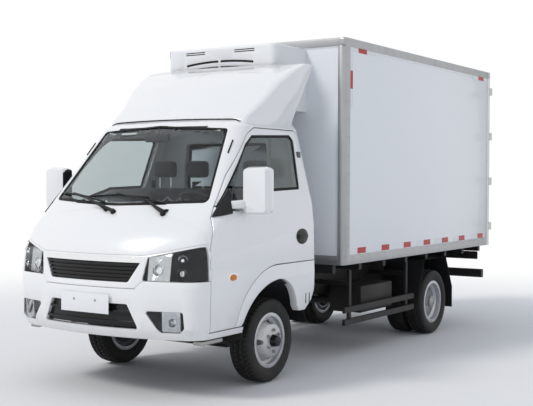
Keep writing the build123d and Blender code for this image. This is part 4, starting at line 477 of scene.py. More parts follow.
def spun(points, centre, axis, steps):
    """A closed solid spun round an axis from the points of its section."""
    piece = drawn([*points, points[0]])
    bpy.ops.mesh.select_all(action="SELECT")
    bpy.ops.mesh.spin(steps=steps, angle=2 * pi, center=centre, axis=axis)
    bpy.ops.mesh.select_all(action="SELECT")
    bpy.ops.mesh.remove_doubles(threshold=1e-5)
    bpy.ops.mesh.normals_make_consistent(inside=False)
    done()
    return piece


# %% [markdown]
# ## Softer panels
# Pressed and moulded panels have no knife edges: light catches a narrow radius round each of
# them. A copy of the frame's panel is merged, its flat faces are dissolved into whole ones, and
# a narrow bevel runs along every crease. Shading is then smooth except over real edges.

# %% A copy that stands for a frame panel
def softened(node, finish, edge=0.002, crease=32, smooth=38):
    """A merged, bevelled and smoothed copy that replaces one frame node."""
    source = nodes[node]
    piece = source.copy()
    piece.data = source.data.copy()
    piece.parent = None
    piece.matrix_world = Matrix.Identity(4)
    bpy.context.collection.objects.link(piece)
    edit(piece)
    bpy.ops.mesh.remove_doubles(threshold=2e-5)
    if edge:
        bpy.ops.mesh.dissolve_limited(angle_limit=radians(0.6))
    done()
    if edge:
        shaped(piece, "BEVEL", width=edge, segments=2, limit_method="ANGLE",
               angle_limit=radians(crease), harden_normals=False)
    settle(piece, node + "_skin", body_of_node[node], finish, smooth)
    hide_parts(node)
    return piece


white_panels = ("cab_sides", "cab_roof", "cab_rear_panel", "front_panel", "bumper",
                "cab_door_left", "cab_door_right", "air_deflector", "mirror_left", "mirror_right")
for node in white_panels:
    softened(node, white_paint, edge=0.0025)
print("softened", len(white_panels), "cab panels")

# %% Box and fridge unit
for node in ("box_side_walls", "box_front_wall", "box_roof", "box_floor", "cargo_door_left",
             "cargo_door_right"):
    softened(node, box_white, edge=0.002)
softened("box_rails", rail_metal, edge=0.0015)
softened("box_door_frame", stainless_metal, edge=0.0015)
for node in ("reefer_unit", "evaporator"):
    softened(node, unit_white, edge=0.003)

# %% [markdown]
# What is round already, or hidden under the truck, keeps the frame's own shape and only gets a
# finish. The frame's triangles point the right way, so they are left alone.

# %% Finishes for the frame's own shapes
finish_of_node = {
    "chassis_paint": chassis_black, "tank_metal": tank_paint, "exhaust_steel": exhaust_metal,
    "black_plastic": black_plastic, "lamp_housing": gloss_black, "lens": lens_clear,
    "tail_red": red_lens, "window_glass": window_glass, "seat_fabric": seat_cloth,
    "dash_plastic": dash_plastic, "floor_mat": floor_rubber, "rim_silver": rim_paint,
    "tyre_rubber": tyre_rubber, "white_paint": white_paint, "box_panel": box_white,
    "rail_aluminium": rail_metal, "stainless": stainless_metal, "unit_panel": unit_white}
slot_of_node = {part["node"]: part["material_slot"] for part in frame["record"]["subparts"]}
for node, shape in nodes.items():
    shape.data.materials.clear()
    shape.data.materials.append(finish_of_node[slot_of_node[node]])

for node in ("front_rim_left", "front_rim_right", "rear_rims_left", "rear_rims_right"):
    softened(node, rim_paint, edge=0.0012, crease=40, smooth=42)
for node in ("fuel_tank", "battery_box", "engine", "exhaust", "front_axle", "rear_axle"):
    softened(node, finish_of_node[slot_of_node[node]], edge=0.002, crease=40)
for node in ("cab_glass", "door_glass_left", "door_glass_right"):
    softened(node, window_glass, edge=0.0, smooth=40)
softened("lamp_lenses", lens_clear, edge=0.0, smooth=40)
softened("front_lamps", gloss_black, edge=0.0015)
softened("grille", gloss_black, edge=0.001)
softened("dashboard", dash_plastic, edge=0.006)
softened("steering_wheel", dash_plastic, edge=0.002, smooth=50)
softened("wipers", black_plastic, edge=0.001)
for side in ("left", "right"):
    softened("door_handle_" + side, gloss_black, edge=0.0015)

# %% [markdown]
# ## Tyres
# A light-truck tyre has ribs, cross grooves at the shoulders and a plain side wall with a raised
# rim guard. Its section is drawn once, spun in narrow steps, and every third step of the tread
# is pushed in to leave a row of blocks. Each wheel gets its own copy.

# %% Model one tyre
seat_radius = 0.1905
flange_radius = 0.2095
tyre_half = (tyre_high.x - tyre_low.x) / 2
tyre_x = (tyre_low.x + tyre_high.x) / 2
tread_steps = 162
groove_depth = 0.007


def tyre_section():
    """Half of the section from the bead to the tread's middle: reach across and radius."""
    crown = tyre_radius - 0.0005
    return [(0.0695, seat_radius), (0.0695, flange_radius), (0.078, flange_radius),
            (0.0865, 0.226), (tyre_half - 0.0008, 0.256), (tyre_half - 0.001, 0.275),
            (0.0885, 0.293), (0.0800, 0.3065), (0.0700, crown - 0.0055),
            (0.0500, crown - 0.0030), (0.0460, crown - 0.0100), (0.0400, crown - 0.0100),
            (0.0360, crown - 0.0020), (0.0140, crown - 0.0005), (0.0110, crown - 0.0095),
            (0.0050, crown - 0.0095), (0.0020, crown)]


half_section = tyre_section()
section = [(-across, radius) for across, radius in reversed(half_section)]
section = [(across, radius) for across, radius in half_section] + section
tyre_centre = Vector((tyre_x, front_axle_y, tyre_radius))
tyre = spun([(tyre_centre.x + across, tyre_centre.y, tyre_centre.z + radius)
             for across, radius in section], tyre_centre, (1, 0, 0), tread_steps)


def in_cross_groove(face):
    """True for every third step of the tread, outside its grooves."""
    middle = face.calc_center_median() - tyre_centre
    radius = sqrt(middle.y ** 2 + middle.z ** 2)
    turned = atan2(middle.z, middle.y) % (2 * pi) / (2 * pi)
    step = int(round(turned * tread_steps - 0.5))
    outer = abs(middle.x) > 0.050 and radius > 0.302
    inner = 0.015 < abs(middle.x) < 0.035 and radius > 0.315
    phase = 0 if middle.x > 0 else 1
    return (outer and step % 3 == phase) or (inner and step % 3 == 2 - phase)


edit(tyre)
choose_faces(tyre, in_cross_groove)
bpy.ops.mesh.extrude_region_shrink_fatten(TRANSFORM_OT_shrink_fatten={"value": -groove_depth})
done()
print("tyre", len(tyre.data.polygons), "faces")

# %% Fit the tyres
def tyre_at(x, y):
    """A copy of the tyre with its middle at x and its axle at y."""
    twin = tyre.copy()
    twin.data = tyre.data.copy()
    bpy.context.collection.objects.link(twin)
    twin.location = (x - tyre_x, y - front_axle_y, 0)
    return twin


rear_low, rear_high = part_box("rear_tyres_left")
rear_axle_y = (rear_low.y + rear_high.y) / 2
rear_inner_x = rear_low.x + tyre_half
rear_outer_x = rear_high.x - tyre_half
for side, sign in (("left", 1), ("right", -1)):
    front = tyre_at(sign * tyre_x, front_axle_y)
    settle(front, "front_tread_" + side, "front_wheel_" + side, tyre_rubber, 40)
    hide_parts("front_tyre_" + side)
    twins = joined([tyre_at(sign * x, rear_axle_y) for x in (rear_inner_x, rear_outer_x)])
    settle(twins, "rear_treads_" + side, "rear_wheels_" + side, tyre_rubber, 40)
    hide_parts("rear_tyres_" + side)
bpy.data.objects.remove(tyre)
print("six tyres on four bodies")

# %% [markdown]
# ## Wheel nuts and hubs
# Six hexagon nuts hold each disc. The front hub wears a black grease cap with a bright button,
# and the rear hub ends in a flange with its axle bolts. One nut is modelled, then copied round.

# %% Nuts and caps
nut_count = 6
nut_circle = 0.082
nut_radius = 0.0125
nut_height = 0.016
disc_reach = 0.107
disc_metal = 0.010


def nut_ring(face_x, axle_y, count, circle, radius, height):
    """Nuts round an axle, standing on a disc whose face is at face_x, on the left side."""
    nuts = []
    for index in range(count):
        angle = 2 * pi * index / count + pi / count
        y, z = axle_y + circle * cos(angle), tyre_radius + circle * sin(angle)
        nut = round_bar((face_x - height / 4, y, z), (face_x + height, y, z), radius, sides=6,
                        rounding=height / 8)
        stud = round_bar((face_x, y, z), (face_x + 1.5 * height, y, z), radius / 2, sides=12,
                         rounding=height / 12)
        nuts += [nut, stud]
    return joined(nuts)


front_face_x = tyre_x + disc_reach
rear_face_x = rear_outer_x - disc_reach + disc_metal
hub_tip_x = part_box("front_rim_left")[1].x
for side in ("left", "right"):
    for end, face_x, axle_y, body in (("front", front_face_x, front_axle_y, "front_wheel_"),
                                      ("rear", rear_face_x, rear_axle_y, "rear_wheels_")):
        nuts = nut_ring(face_x, axle_y, nut_count, nut_circle, nut_radius, nut_height)
        if side == "right":
            left_nuts = nuts
            nuts = mirrored(left_nuts)
            bpy.data.objects.remove(left_nuts)
        settle(nuts, f"{end}_nuts_{side}", body + side, bolt_metal)

button = round_bar((hub_tip_x - 0.010, front_axle_y, tyre_radius),
                   (hub_tip_x - 0.0002, front_axle_y, tyre_radius), 0.0165, sides=32,
                   rounding=0.002)
rear_hub_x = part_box("rear_axle")[1].x
flange = round_bar((rear_hub_x - 0.012, rear_axle_y, tyre_radius),
                   (rear_hub_x + 0.010, rear_axle_y, tyre_radius), 0.056, sides=48, rounding=0.003)
flange_bolts = nut_ring(rear_hub_x + 0.010, rear_axle_y, 8, 0.043, 0.006, 0.006)
hub_end = joined([flange, flange_bolts])
for piece, name, body, finish in ((button, "hub_button", "front_wheel_", chrome),
                                  (hub_end, "axle_flange", "rear_wheels_", bolt_metal)):
    on_both_sides(piece, name, body, finish, 35)
print("nuts and caps on four wheels")

# %% [markdown]
# ## Seals round the glass
# Each pane is held by a black rubber band. The pane's rim is copied as one closed loop of edges
# and filled with a single face, because an inset of one face keeps an even width. The middle is
# deleted, the band is laid back on the curved pane with Shrinkwrap and given its thickness.

# %% Rubber bands
def pane_copy(node, outward):
    """The faces of one node that pass a test, as a sheet of its own."""
    piece = nodes[node].copy()
    piece.data = nodes[node].data.copy()
    piece.parent = None
    piece.matrix_world = Matrix.Identity(4)
    piece.hide_render = piece.hide_viewport = False
    bpy.context.collection.objects.link(piece)
    edit(piece)
    bpy.ops.mesh.remove_doubles(threshold=2e-5)
    choose_faces(piece, lambda face: not outward(face))
    bpy.ops.mesh.delete(type="FACE")
    done()
    return piece


def rim_loop(piece):
    """Leaves nothing of a sheet but its outer edges."""
    edit(piece)
    bpy.ops.mesh.region_to_loop()
    bpy.ops.mesh.select_all(action="INVERT")
    bpy.ops.mesh.delete(type="EDGE")
    bpy.ops.mesh.select_all(action="SELECT")
    bpy.ops.mesh.remove_doubles(threshold=0.003)


def edge_band(node, name, outward, width, lift, finish=seal_rubber_and_slot_shade):
    """A raised rubber band round the rim of one pane."""
    pane = pane_copy(node, outward)
    piece = pane_copy(node, outward)
    rim_loop(piece)
    bpy.ops.mesh.edge_face_add()
    bpy.ops.mesh.inset(thickness=width, use_even_offset=True)
    bpy.ops.mesh.delete(type="FACE")
    bpy.ops.mesh.select_all(action="SELECT")
    bpy.ops.mesh.subdivide(number_cuts=1)
    done()
    shaped(piece, "SHRINKWRAP", target=pane, wrap_method="NEAREST_SURFACEPOINT")
    edit(piece)
    choose_faces(piece, lambda face: not outward(face))
    bpy.ops.mesh.flip_normals()
    done()
    shaped(piece, "SOLIDIFY", thickness=2 * lift, offset=0)
    bpy.data.objects.remove(pane)
    return settle(piece, name, body_of_node[node], finish, 40)


edge_band("cab_glass", "windscreen_seal", lambda face: face.normal.y < -0.3, 0.021, 0.004)
edge_band("cab_glass", "rear_window_seal", lambda face: face.normal.y > 0.6, 0.022, 0.004)
edge_band("door_glass_left", "window_seal_left", lambda face: face.normal.x > 0.5, 0.021, 0.004)
edge_band("door_glass_right", "window_seal_right", lambda face: face.normal.x < -0.5, 0.021, 0.004)
print("four seals")


# %% A rubber tube along an edge
def tubed(piece, radius):
    """Turns a piece that is only a line into a round tube."""
    pick(piece)
    bpy.ops.object.convert(target="CURVE")
    bpy.context.active_object.data.bevel_depth = radius
    bpy.context.active_object.data.bevel_resolution = 2
    bpy.ops.object.convert(target="MESH")
    return bpy.context.active_object


def edge_tube(node, name, test, radius, finish=seal_rubber_and_slot_shade):
    """A round strip along the border of the faces that pass a test."""
    piece = pane_copy(node, test)
    edit(piece)
    bpy.ops.mesh.region_to_loop()
    bpy.ops.mesh.select_all(action="INVERT")
    bpy.ops.mesh.delete(type="EDGE")
    done()
    return settle(tubed(piece, radius), name, body_of_node[node], finish, 40)


for side in ("left", "right"):
    edge_tube("cargo_door_" + side, "cargo_seal_" + side, lambda face: face.normal.y > 0.9, 0.0045)
print("gaskets")

# %% [markdown]
# Small pieces on the cab's curved front are laid on it by a ray: the point where the ray meets
# the frame's panel is where the piece stands.

# %% Find a point on a panel
panel_trees = {}


def on_panel(node, start, aim):
    """Where a ray from a point first meets one frame node, and the normal there."""
    if node not in panel_trees:
        mesh = nodes[node].data
        panel_trees[node] = BVHTree.FromPolygons([point.co for point in mesh.vertices],
                                                 [face.vertices for face in mesh.polygons])
    place, normal = panel_trees[node].ray_cast(Vector(start), Vector(aim))[:2]
    if place is None:
        raise ValueError(f"the ray from {start} misses {node}")
    return place, normal


def on_front(node, x, z, lift=0.0):
    """A point on the cab's front, lifted off it."""
    place, normal = on_panel(node, (x, front_axle_y - 3, z), (0, 1, 0))
    return place + normal * lift


# %% [markdown]
# ## Split a panel by colour
# The grille's top bar is bright, and a mirror's arm and foot are black plastic under a painted
# head. Their faces are separated from the softened copy, so that each colour is a piece.

# %% Bright bar and black mirror arms
def split_off(piece, test, name, finish, node):
    """Separates the faces that pass a test into a piece of their own."""
    edit(piece)
    choose_faces(piece, test)
    bpy.ops.mesh.separate(type="SELECTED")
    done()
    part = next(shape for shape in bpy.context.selected_objects if shape is not piece)
    settle(part, name, body_of_node[node], finish, 38)
    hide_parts(node)
    return part


grille_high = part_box("grille")[1]
bar_low_z = grille_high.z - 0.0345
split_off(bpy.data.objects["grille_skin"],
          lambda face: face.calc_center_median().z > bar_low_z, "grille_bar",
          chrome, "grille")
for side, sign in (("left", 1), ("right", -1)):
    head_x = 0.880
    split_off(bpy.data.objects[f"mirror_{side}_skin"],
              lambda face: face.calc_center_median().x * sign < head_x, "mirror_arm_" + side,
              black_plastic, "mirror_" + side)

def is_cap(face):
    """True for the grease cap in the middle of a front rim."""
    place = face.calc_center_median()
    off_axle = sqrt((place.y - front_axle_y) ** 2 + (place.z - tyre_radius) ** 2)
    return abs(place.x) > front_face_x + 0.0015 and off_axle < 0.0495


for side in ("left", "right"):
    split_off(bpy.data.objects[f"front_rim_{side}_skin"], is_cap, "hub_cap_" + side,
              gloss_black, "front_rim_" + side)
print("hub caps")

# %% Mirror glass
mirror_low, mirror_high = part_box("mirror_left")
glass_margin = 0.028
head_low_x = 0.893
mirror_pane = block((head_low_x, mirror_high.y - 0.004, mirror_low.z + glass_margin),
                    (mirror_high.x - 0.022, mirror_high.y + 0.001, mirror_high.z - glass_margin),
                    rounding=0.0018)
for piece, side in ((mirrored(mirror_pane), "right"), (mirror_pane, "left")):
    settle(piece, "mirror_pane_" + side, "cab_door_" + side, chrome)

# %% [markdown]
# ## Lamps
# Behind each clear lens the inner half of the housing is one polished reflector, and the outer
# half is black with two small bowls. The housing's faces are cut along upright planes with
# bisect, and the polished part is split off. A bulb on a metal foot stands in each bowl.

# %% Polish the reflectors
housing = bpy.data.objects["front_lamps_skin"]
mirror_edges = (0.506, 0.664)
fog_edges = (0.612, 0.738)
upper_lamp_z = 0.70
edit(housing)
for x in (*mirror_edges, *fog_edges):
    for sign in (-1, 1):
        bpy.ops.mesh.select_all(action="SELECT")
        bpy.ops.mesh.bisect(plane_co=(sign * x, 0, 0), plane_no=(1, 0, 0))
done()


def is_mirror(face):
    """True for what lies in the polished part of a head lamp or fog lamp."""
    place = face.calc_center_median()
    low, high = mirror_edges if place.z > upper_lamp_z else fog_edges
    return low < abs(place.x) < high and face.normal.y < 0.3


split_off(housing, is_mirror, "lamp_mirrors", lamp_silver, "front_lamps")


# %% Bowls and bulbs
def reflector(x, z, radius, mouth, depth):
    """A polished bowl with its mouth facing forward."""
    wall = 0.0012
    rings = [(0.22, 1.0), (0.45, 0.93), (0.68, 0.72), (0.88, 0.36), (1.0, 0.0)]
    inner = [(radius * share, mouth + depth * back) for share, back in rings]
    outer = [(reach + wall, back + wall) for reach, back in reversed(inner)]
    return spun([(x + reach, back, z) for reach, back in inner + outer], (x, 0, z), (0, 1, 0), 40)


lamp_places = (("upper", 0.7395, 0.989, 0.036), ("lower", 0.7395, 0.900, 0.036),
               ("main", 0.5786, 0.917, 0.066), ("fog", 0.683, 0.566, 0.042))
rim_share = 1.12
bowls, bulbs, feet = [], [], []
for name, x, z, radius in lamp_places:
    floor_y = on_front("front_lamps", x, z).y
    inner_y, outer_y = (on_front("front_lamps", x + sign * rim_share * radius, z).y
                        for sign in (-1, 1))
    rim_y = 0.5 * (inner_y + outer_y)
    if name in ("upper", "lower"):
        bowls.append(reflector(x, z, radius - 0.004, rim_y - 0.002, max(floor_y - rim_y, 0.012)))
        lean = atan2(outer_y - inner_y, 2 * rim_share * radius)
        pick(bowls[-1])
        bpy.ops.transform.rotate(value=-lean, orient_axis="Z", center_override=(x, rim_y, z))
        print(name, "bowl leans", round(lean, 3))
    glass = round_bar((x, floor_y - 0.004, z), (x, floor_y - 0.004 - 0.45 * radius, z),
                      0.26 * radius, 24, 0.06 * radius, 0.85)
    foot = round_bar((x, floor_y + 0.002, z), (x, floor_y - 0.006, z), 0.34 * radius, 24, 0.001)
    bulbs.append(glass)
    feet.append(foot)
for pieces, name, finish in ((bowls, "lamp_bowls", chrome), (bulbs, "bulbs", lens_clear),
                             (feet, "bulb_feet", chrome)):
    on_both_sides(joined(pieces), name, "root", finish, 40)
print("lamp insides on both sides")

# %% [markdown]
# Side repeaters are small amber ovals on the doors. Tail lamps are three lenses in a row: red,
# amber and clear.

# %% Repeaters and tail lamps
repeater_y, repeater_z = front_axle_y - 0.594, 0.849
door_skin_x = 0.8655
repeater = round_bar((door_skin_x - 0.003, repeater_y, repeater_z),
                     (door_skin_x + 0.012, repeater_y, repeater_z), 0.026, 32, 0.004, 0.8)
oval(repeater, (1, 1.75, 1), (0, repeater_y, repeater_z))
bezel = round_bar((door_skin_x - 0.003, repeater_y, repeater_z),
                  (door_skin_x + 0.004, repeater_y, repeater_z), 0.030, 32, 0.0015)
oval(bezel, (1, 1.7, 1), (0, repeater_y, repeater_z))
on_both_sides(repeater, "repeater", "cab_door_", amber_lens)
on_both_sides(bezel, "repeater_rim", "cab_door_", chrome)

tail_low, tail_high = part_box("tail_lamps")
tail_inner_x = 0.570
tail_thirds = [tail_inner_x + (tail_high.x - tail_inner_x) * share for share in (0, 0.30, 0.62, 1)]
for name, first, last, finish in (("clear", 0, 1, white_lens), ("amber", 1, 2, amber_lens),
                                  ("red", 2, 3, red_lens)):
    lens = block((tail_thirds[first] + 0.001, tail_low.y, tail_low.z),
                 (tail_thirds[last] - 0.001, tail_high.y, tail_high.z), 0.007, 3)
    on_both_sides(lens, "tail_" + name, "root", finish)
    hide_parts("tail_lamps")

# %% [markdown]
# ## Number plate
# A blank white plate hangs over the air intake on a folded bracket, held by two dome bolts.

# %% Plate and bolts
plate_half, plate_low_z, plate_high_z = 0.225, 0.604, 0.742
plate_y = front_axle_y - 1.179
plate = block((-plate_half, plate_y, plate_low_z), (plate_half, plate_y + 0.0025, plate_high_z),
              0.0011)
settle(plate, "number_plate", "root", plate_white)
bolt = round_bar((-0.10, plate_y + 0.002, 0.694), (-0.10, plate_y - 0.004, 0.694), 0.011, 20, 0.002,
                 0.7)
bolts = repeated(bolt, [(0.20, 0, 0)])
settle(bolts, "plate_bolts", "root", bolt_metal)
bracket = block((-0.20, plate_y + 0.0025, 0.655), (0.20, plate_y + 0.026, 0.675), 0.002)
settle(bracket, "plate_bracket", "root", black_plastic)

# %% [markdown]
# ## Marking tape
# Red and white retroreflective film runs along the foot of the box, and short angles mark its
# upper corners. Each block is a film less than a millimetre thick, stuck on the panel.

# %% Tape on both sides and at the back
wall_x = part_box("box_side_walls")[1].x
film = 0.0008
tape_height = 0.050
tape_length = 0.152
foot_z = 0.938
head_z = 2.635
red_film, white_film = [], []


def side_tape(group, reach, z, length, height):
    """One strip on the left wall; its place is its middle."""
    y = front_axle_y + reach
    group.append(block((wall_x, y - length / 2, z - height / 2),
                       (wall_x + film, y + length / 2, z + height / 2), 0.0003, 1))


for reach in (1.241, 1.694, 2.144, 2.587, 3.023, 3.457, 3.973):
    side_tape(red_film, reach, foot_z, tape_length, tape_height)
    side_tape(white_film, reach - tape_length - 0.008, foot_z, tape_length, tape_height)
side_tape(red_film, 1.243, head_z, tape_length, tape_height)
side_tape(white_film, 1.085, head_z, 0.130, tape_height)
side_tape(white_film, 1.401, head_z, tape_length, tape_height)
side_tape(red_film, 1.045, 2.375, tape_height, tape_length)
side_tape(white_film, 1.045, 2.530, tape_height, tape_length)
side_tape(white_film, 1.045, 2.220, tape_height, tape_length)
side_tape(red_film, 3.963, head_z, tape_length, tape_height)
side_tape(white_film, 3.805, head_z, tape_length, tape_height)
side_tape(white_film, 4.100, head_z, 0.110, tape_height)

door_skin_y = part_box("cargo_door_left")[1].y


def door_tape(group, x, z, length, height):
    """One strip on the left cargo door."""
    group.append(block((x - length / 2, door_skin_y, z - height / 2),
                       (x + length / 2, door_skin_y + film, z + height / 2), 0.0003, 1))


door_red, door_white = [], []
for x, group in ((0.245, door_red), (0.525, door_white), (0.605, door_red), (0.325, door_white)):
    door_tape(group, x, foot_z + 0.02, 0.076, tape_height)
for pieces, name, body, finish in ((red_film, "tape_red", "root", tape_red),
                                   (white_film, "tape_white", "root", tape_white),
                                   (door_red, "door_tape_red", "cargo_door_", tape_red),
                                   (door_white, "door_tape_white", "cargo_door_", tape_white)):
    on_both_sides(joined(pieces), name, body, finish)
print("marking tape on both sides and both doors")

# %% [markdown]
# ## Rivets and corner caps
# Blind rivets fix the rails to the panels every 15 cm or so, and a cast cap closes each upper
# corner. One dome of few faces is modelled and copied along the rails.

# %% Rivets
rail_low, rail_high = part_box("box_rails")


def dome(place, axis):
    """A low rivet head whose face looks along an axis."""
    place = Vector(place)
    return round_bar(place - Vector(axis) * 0.001, place + Vector(axis) * 0.0022, 0.006, 10, 0.001,
                     0.75)


rivet_pitch = 0.150
first_rivet_y = rail_low.y + 0.16
rivet_count = int((rail_high.y - 0.06 - first_rivet_y) / rivet_pitch) + 1
steps = [(0, index * rivet_pitch, 0) for index in range(1, rivet_count)]
rows = []
for z in (rail_low.z + 0.020, rail_low.z + 0.060, rail_high.z - 0.022, rail_high.z - 0.050):
    rows.append(repeated(dome((rail_high.x, first_rivet_y, z), (1, 0, 0)), steps))
post_steps = [(0, 0, index * rivet_pitch) for index in range(1, 11)]
for y in (rail_low.y + 0.052, rail_low.y + 0.088):
    rows.append(repeated(dome((rail_high.x, y, rail_low.z + 0.16), (1, 0, 0)), post_steps))
on_both_sides(joined(rows), "rivets", "root", bolt_metal)

# %% Corner caps
cap_size = 0.072
corner = block((rail_high.x - cap_size, rail_low.y - 0.002, rail_high.z - cap_size),
               (rail_high.x + 0.002, rail_low.y + cap_size, rail_high.z + 0.0005), 0.016, 4)
rear_corner = block((rail_high.x - cap_size, rail_high.y - 0.012, rail_high.z - cap_size),
                    (rail_high.x + 0.002, rail_high.y + 0.060, rail_high.z + 0.0005), 0.010, 3)
on_both_sides(joined([corner, rear_corner]), "corner_caps", "root", rail_metal)
print("rivets and corner caps")

# %% [markdown]
# ## Wheel-arch liners
# Behind each front wheel's opening a black moulded liner keeps spray off the cab floor. It is a
# strip bent round the axle, wide enough to let the wheel steer under it.

# %% Bend the liners
liner_radius = 0.455
liner_wall = 0.004
liner_inner_x, liner_outer_x = 0.400, 0.838
liner_steps = 36
first_angle, last_angle = radians(12), radians(172)
start_y = front_axle_y + liner_radius * cos(first_angle)
start_z = tyre_radius + liner_radius * sin(first_angle)
liner = drawn([(x, start_y, start_z) for x in (liner_inner_x, liner_outer_x)])
bpy.ops.mesh.select_all(action="SELECT")
bpy.ops.mesh.spin(steps=liner_steps, angle=first_angle - last_angle,
                  center=(0, front_axle_y, tyre_radius), axis=(1, 0, 0))
bpy.ops.mesh.select_all(action="SELECT")
bpy.ops.mesh.remove_doubles(threshold=1e-5)
bpy.ops.mesh.normals_make_consistent(inside=False)
done()
shaped(liner, "SOLIDIFY", thickness=liner_wall)
on_both_sides(liner, "arch_liner", "root", black_plastic)
print("arch liners")

# %% [markdown]
# ## Cowl strip
# Between the hood's straight upper edge and the windscreen's curved foot lies a narrow strip of
# painted sheet. It is a grid of quads whose points are laid on the surface, then given a wall.

# %% Lay the strip
strip_half = 0.478
strip_steps = 32
strip_high_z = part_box("front_panel")[1].z
foot_rise = 0.0298
scan_step = 0.001


def hood_edge(x):
    """The highest point of the hood at x."""
    z = strip_high_z - scan_step
    hood = panel_trees["front_panel"]
    while hood.ray_cast(Vector((x, front_axle_y - 3, z)), Vector((0, 1, 0)))[0] is None:
        z -= scan_step
    return on_front("front_panel", x, z)


on_front("front_panel", 0, strip_high_z - 0.01)
bpy.ops.object.select_all(action="DESELECT")
bpy.ops.mesh.primitive_grid_add(x_subdivisions=strip_steps, y_subdivisions=1, size=1)
strip = bpy.context.active_object
for point in strip.data.vertices:
    x = point.co.x * 2 * strip_half
    edge = hood_edge(x)
    slope = on_front("front_panel", x, edge.z - 0.03)
    run = (edge - slope).normalized()
    foot_z = strip_high_z + 0.001 + foot_rise * abs(x)
    reach = (foot_z - edge.z) / run.z if point.co.y > 0 else -0.003
    point.co = edge + run * reach
strip.location = (0, 0, 0)
shaped(strip, "SOLIDIFY", thickness=0.0016, offset=0)
edit(strip)
bpy.ops.mesh.normals_make_consistent(inside=False)
done()
settle(strip, "cowl_strip", "root", white_paint, 40)

# %% [markdown]
# A rubber gasket closes the joint between the roof and the wind deflector's foot. It follows the
# foot's curved front, so its line is drawn through points that rays find there.

# %% Lay the gasket under the deflector
gasket_half, gasket_steps, gasket_radius = 0.635, 36, 0.007
foot_low_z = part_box("air_deflector")[0].z
foot_back_y = front_axle_y - 0.10


def deflector_foot(x):
    """The lowest point of the deflector's front at x."""
    z = foot_low_z
    place = None
    while place is None or place.y > foot_back_y:
        z += scan_step
        place = panel_trees["air_deflector"].ray_cast(Vector((x, front_axle_y - 3, z)),
                                                      Vector((0, 1, 0)))[0]
    return place


on_panel("air_deflector", (0, front_axle_y - 3, 2.1), (0, 1, 0))
line = [deflector_foot(gasket_half * (2 * step / gasket_steps - 1))
        for step in range(gasket_steps + 1)]
gasket = drawn(line)
done()
settle(tubed(gasket, gasket_radius), "deflector_gasket", body_of_node["air_deflector"],
       seal_rubber_and_slot_shade, 40)
print("gasket over the roof from", [round(part, 3) for part in line[0]], "by",
      [round(part, 3) for part in line[gasket_steps // 2]])

# %% [markdown]
# ## Wipers
# Each wiper has a pivot with a cap, an arm that tapers to a hook, and a blade with a rubber lip.
# The arm springs the blade against the glass, so its middle stands a little off it.

# %% Model two wipers
def wiper(pivot, elbow, middle, left, right):
    """One wiper through five points given by their x and z on the cab's front."""
    foot = on_front("front_panel", *pivot, -0.010)
    cap = on_front("front_panel", *pivot, 0.026)
    bend = on_front("cab_glass", *elbow, 0.026)
    clip = on_front("cab_glass", *middle, 0.024)
    ends = [on_front("cab_glass", *end, 0.013) for end in (left, right)]
    centre = on_front("cab_glass", *middle, 0.014)
    pieces = [round_bar(foot, cap, 0.0165, 24, 0.004),
              round_bar(foot, cap.lerp(foot, 0.4), 0.021, 24, 0.003),
              round_bar(cap.lerp(foot, 0.25), bend, 0.0125, 12, 0.002, 0.62),
              round_bar(bend, clip, 0.0075, 12, 0.001, 0.8),
              round_bar(clip, centre, 0.011, 12, 0.002)]
    for end in ends:
        pieces.append(round_bar(centre, end, 0.0075, 8, 0.001, 0.6))
        lower = on_front("cab_glass", *(left if end is ends[0] else right), 0.005)
        pieces.append(round_bar(on_front("cab_glass", *middle, 0.006), lower, 0.0042, 6))
    return joined(pieces)


passenger_points = ((0.030, 1.300), (-0.325, 1.383), (-0.520, 1.414), (-0.690, 1.424),
                    (-0.285, 1.398))
driver_points = ((0.455, 1.294), (0.265, 1.378), (-0.020, 1.418), (-0.310, 1.404), (0.262, 1.402))
wipers = joined([wiper(*passenger_points), wiper(*driver_points)])
settle(wipers, "wiper_arms", "root", black_plastic, 40)
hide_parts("wipers")

# %% [markdown]
# ## Small things on the cab
# A painted stalk carries each mirror. Air slots sit on the pillars and the fenders, and a folded
# step bracket hangs under each door's front corner.

# %% Stalks, slots and steps
stalk_z = 1.363
stalk_head = (0.905, front_axle_y - 0.452, stalk_z + 0.003)
stalk_foot = (0.848, front_axle_y - 0.590, stalk_z - 0.003)
stalk = round_bar(stalk_head, stalk_foot, 0.020, 16, 0.004, 0.85)
oval(stalk, (1, 1, 1.65), (0, 0, stalk_z))
pillar_top = on_panel("cab_sides", (1.5, front_axle_y - 0.333, 1.827), (-1, 0, 0))[0]
pillar_foot = on_panel("cab_sides", (1.5, front_axle_y - 0.416, 1.7295), (-1, 0, 0))[0]
slot_out = Vector((0.0015, -0.0015, 0.0015))
pillar_slot = round_bar(pillar_top + slot_out, pillar_foot + slot_out, 0.0055, 10, 0.001)
fender_x = on_panel("cab_sides", (1.5, front_axle_y + 0.425, 0.60), (-1, 0, 0))[0].x
slots = [pillar_slot]
for reach in (0.400, 0.452):
    slots.append(block((fender_x - 0.002, front_axle_y + reach - 0.006, 0.568),
                       (fender_x + 0.0012, front_axle_y + reach + 0.006, 0.648), 0.001, 1))
step = block((0.745, front_axle_y - 0.900, 0.400), (0.826, front_axle_y - 0.660, 0.428), 0.006, 3)
on_both_sides(stalk, "mirror_stalk", "cab_door_", white_paint)
on_both_sides(joined(slots), "air_slots", "root", seal_rubber_and_slot_shade)
on_both_sides(step, "step_bracket", "root", bolt_metal)
print("stalks, slots and steps")

# %% [markdown]
# ## Fridge unit
# The walls and floors of its arched slots are painted black as shade for the unlit inside, and the
# upright fins of a heat exchanger stand in them.

# %% Paint shade into the slots and stand fins in them
unit_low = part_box("reefer_unit")[0]
slot_half = 0.352
slot_low_z, slot_high_z = 2.19, 2.625


def in_slot(face):
    """True for the walls and floors of the unit's slots."""
    place = face.calc_center_median()
    deep = unit_low.y + 0.0035 < place.y < unit_low.y + 0.02
    return deep and abs(place.x) < slot_half and slot_low_z < place.z < slot_high_z
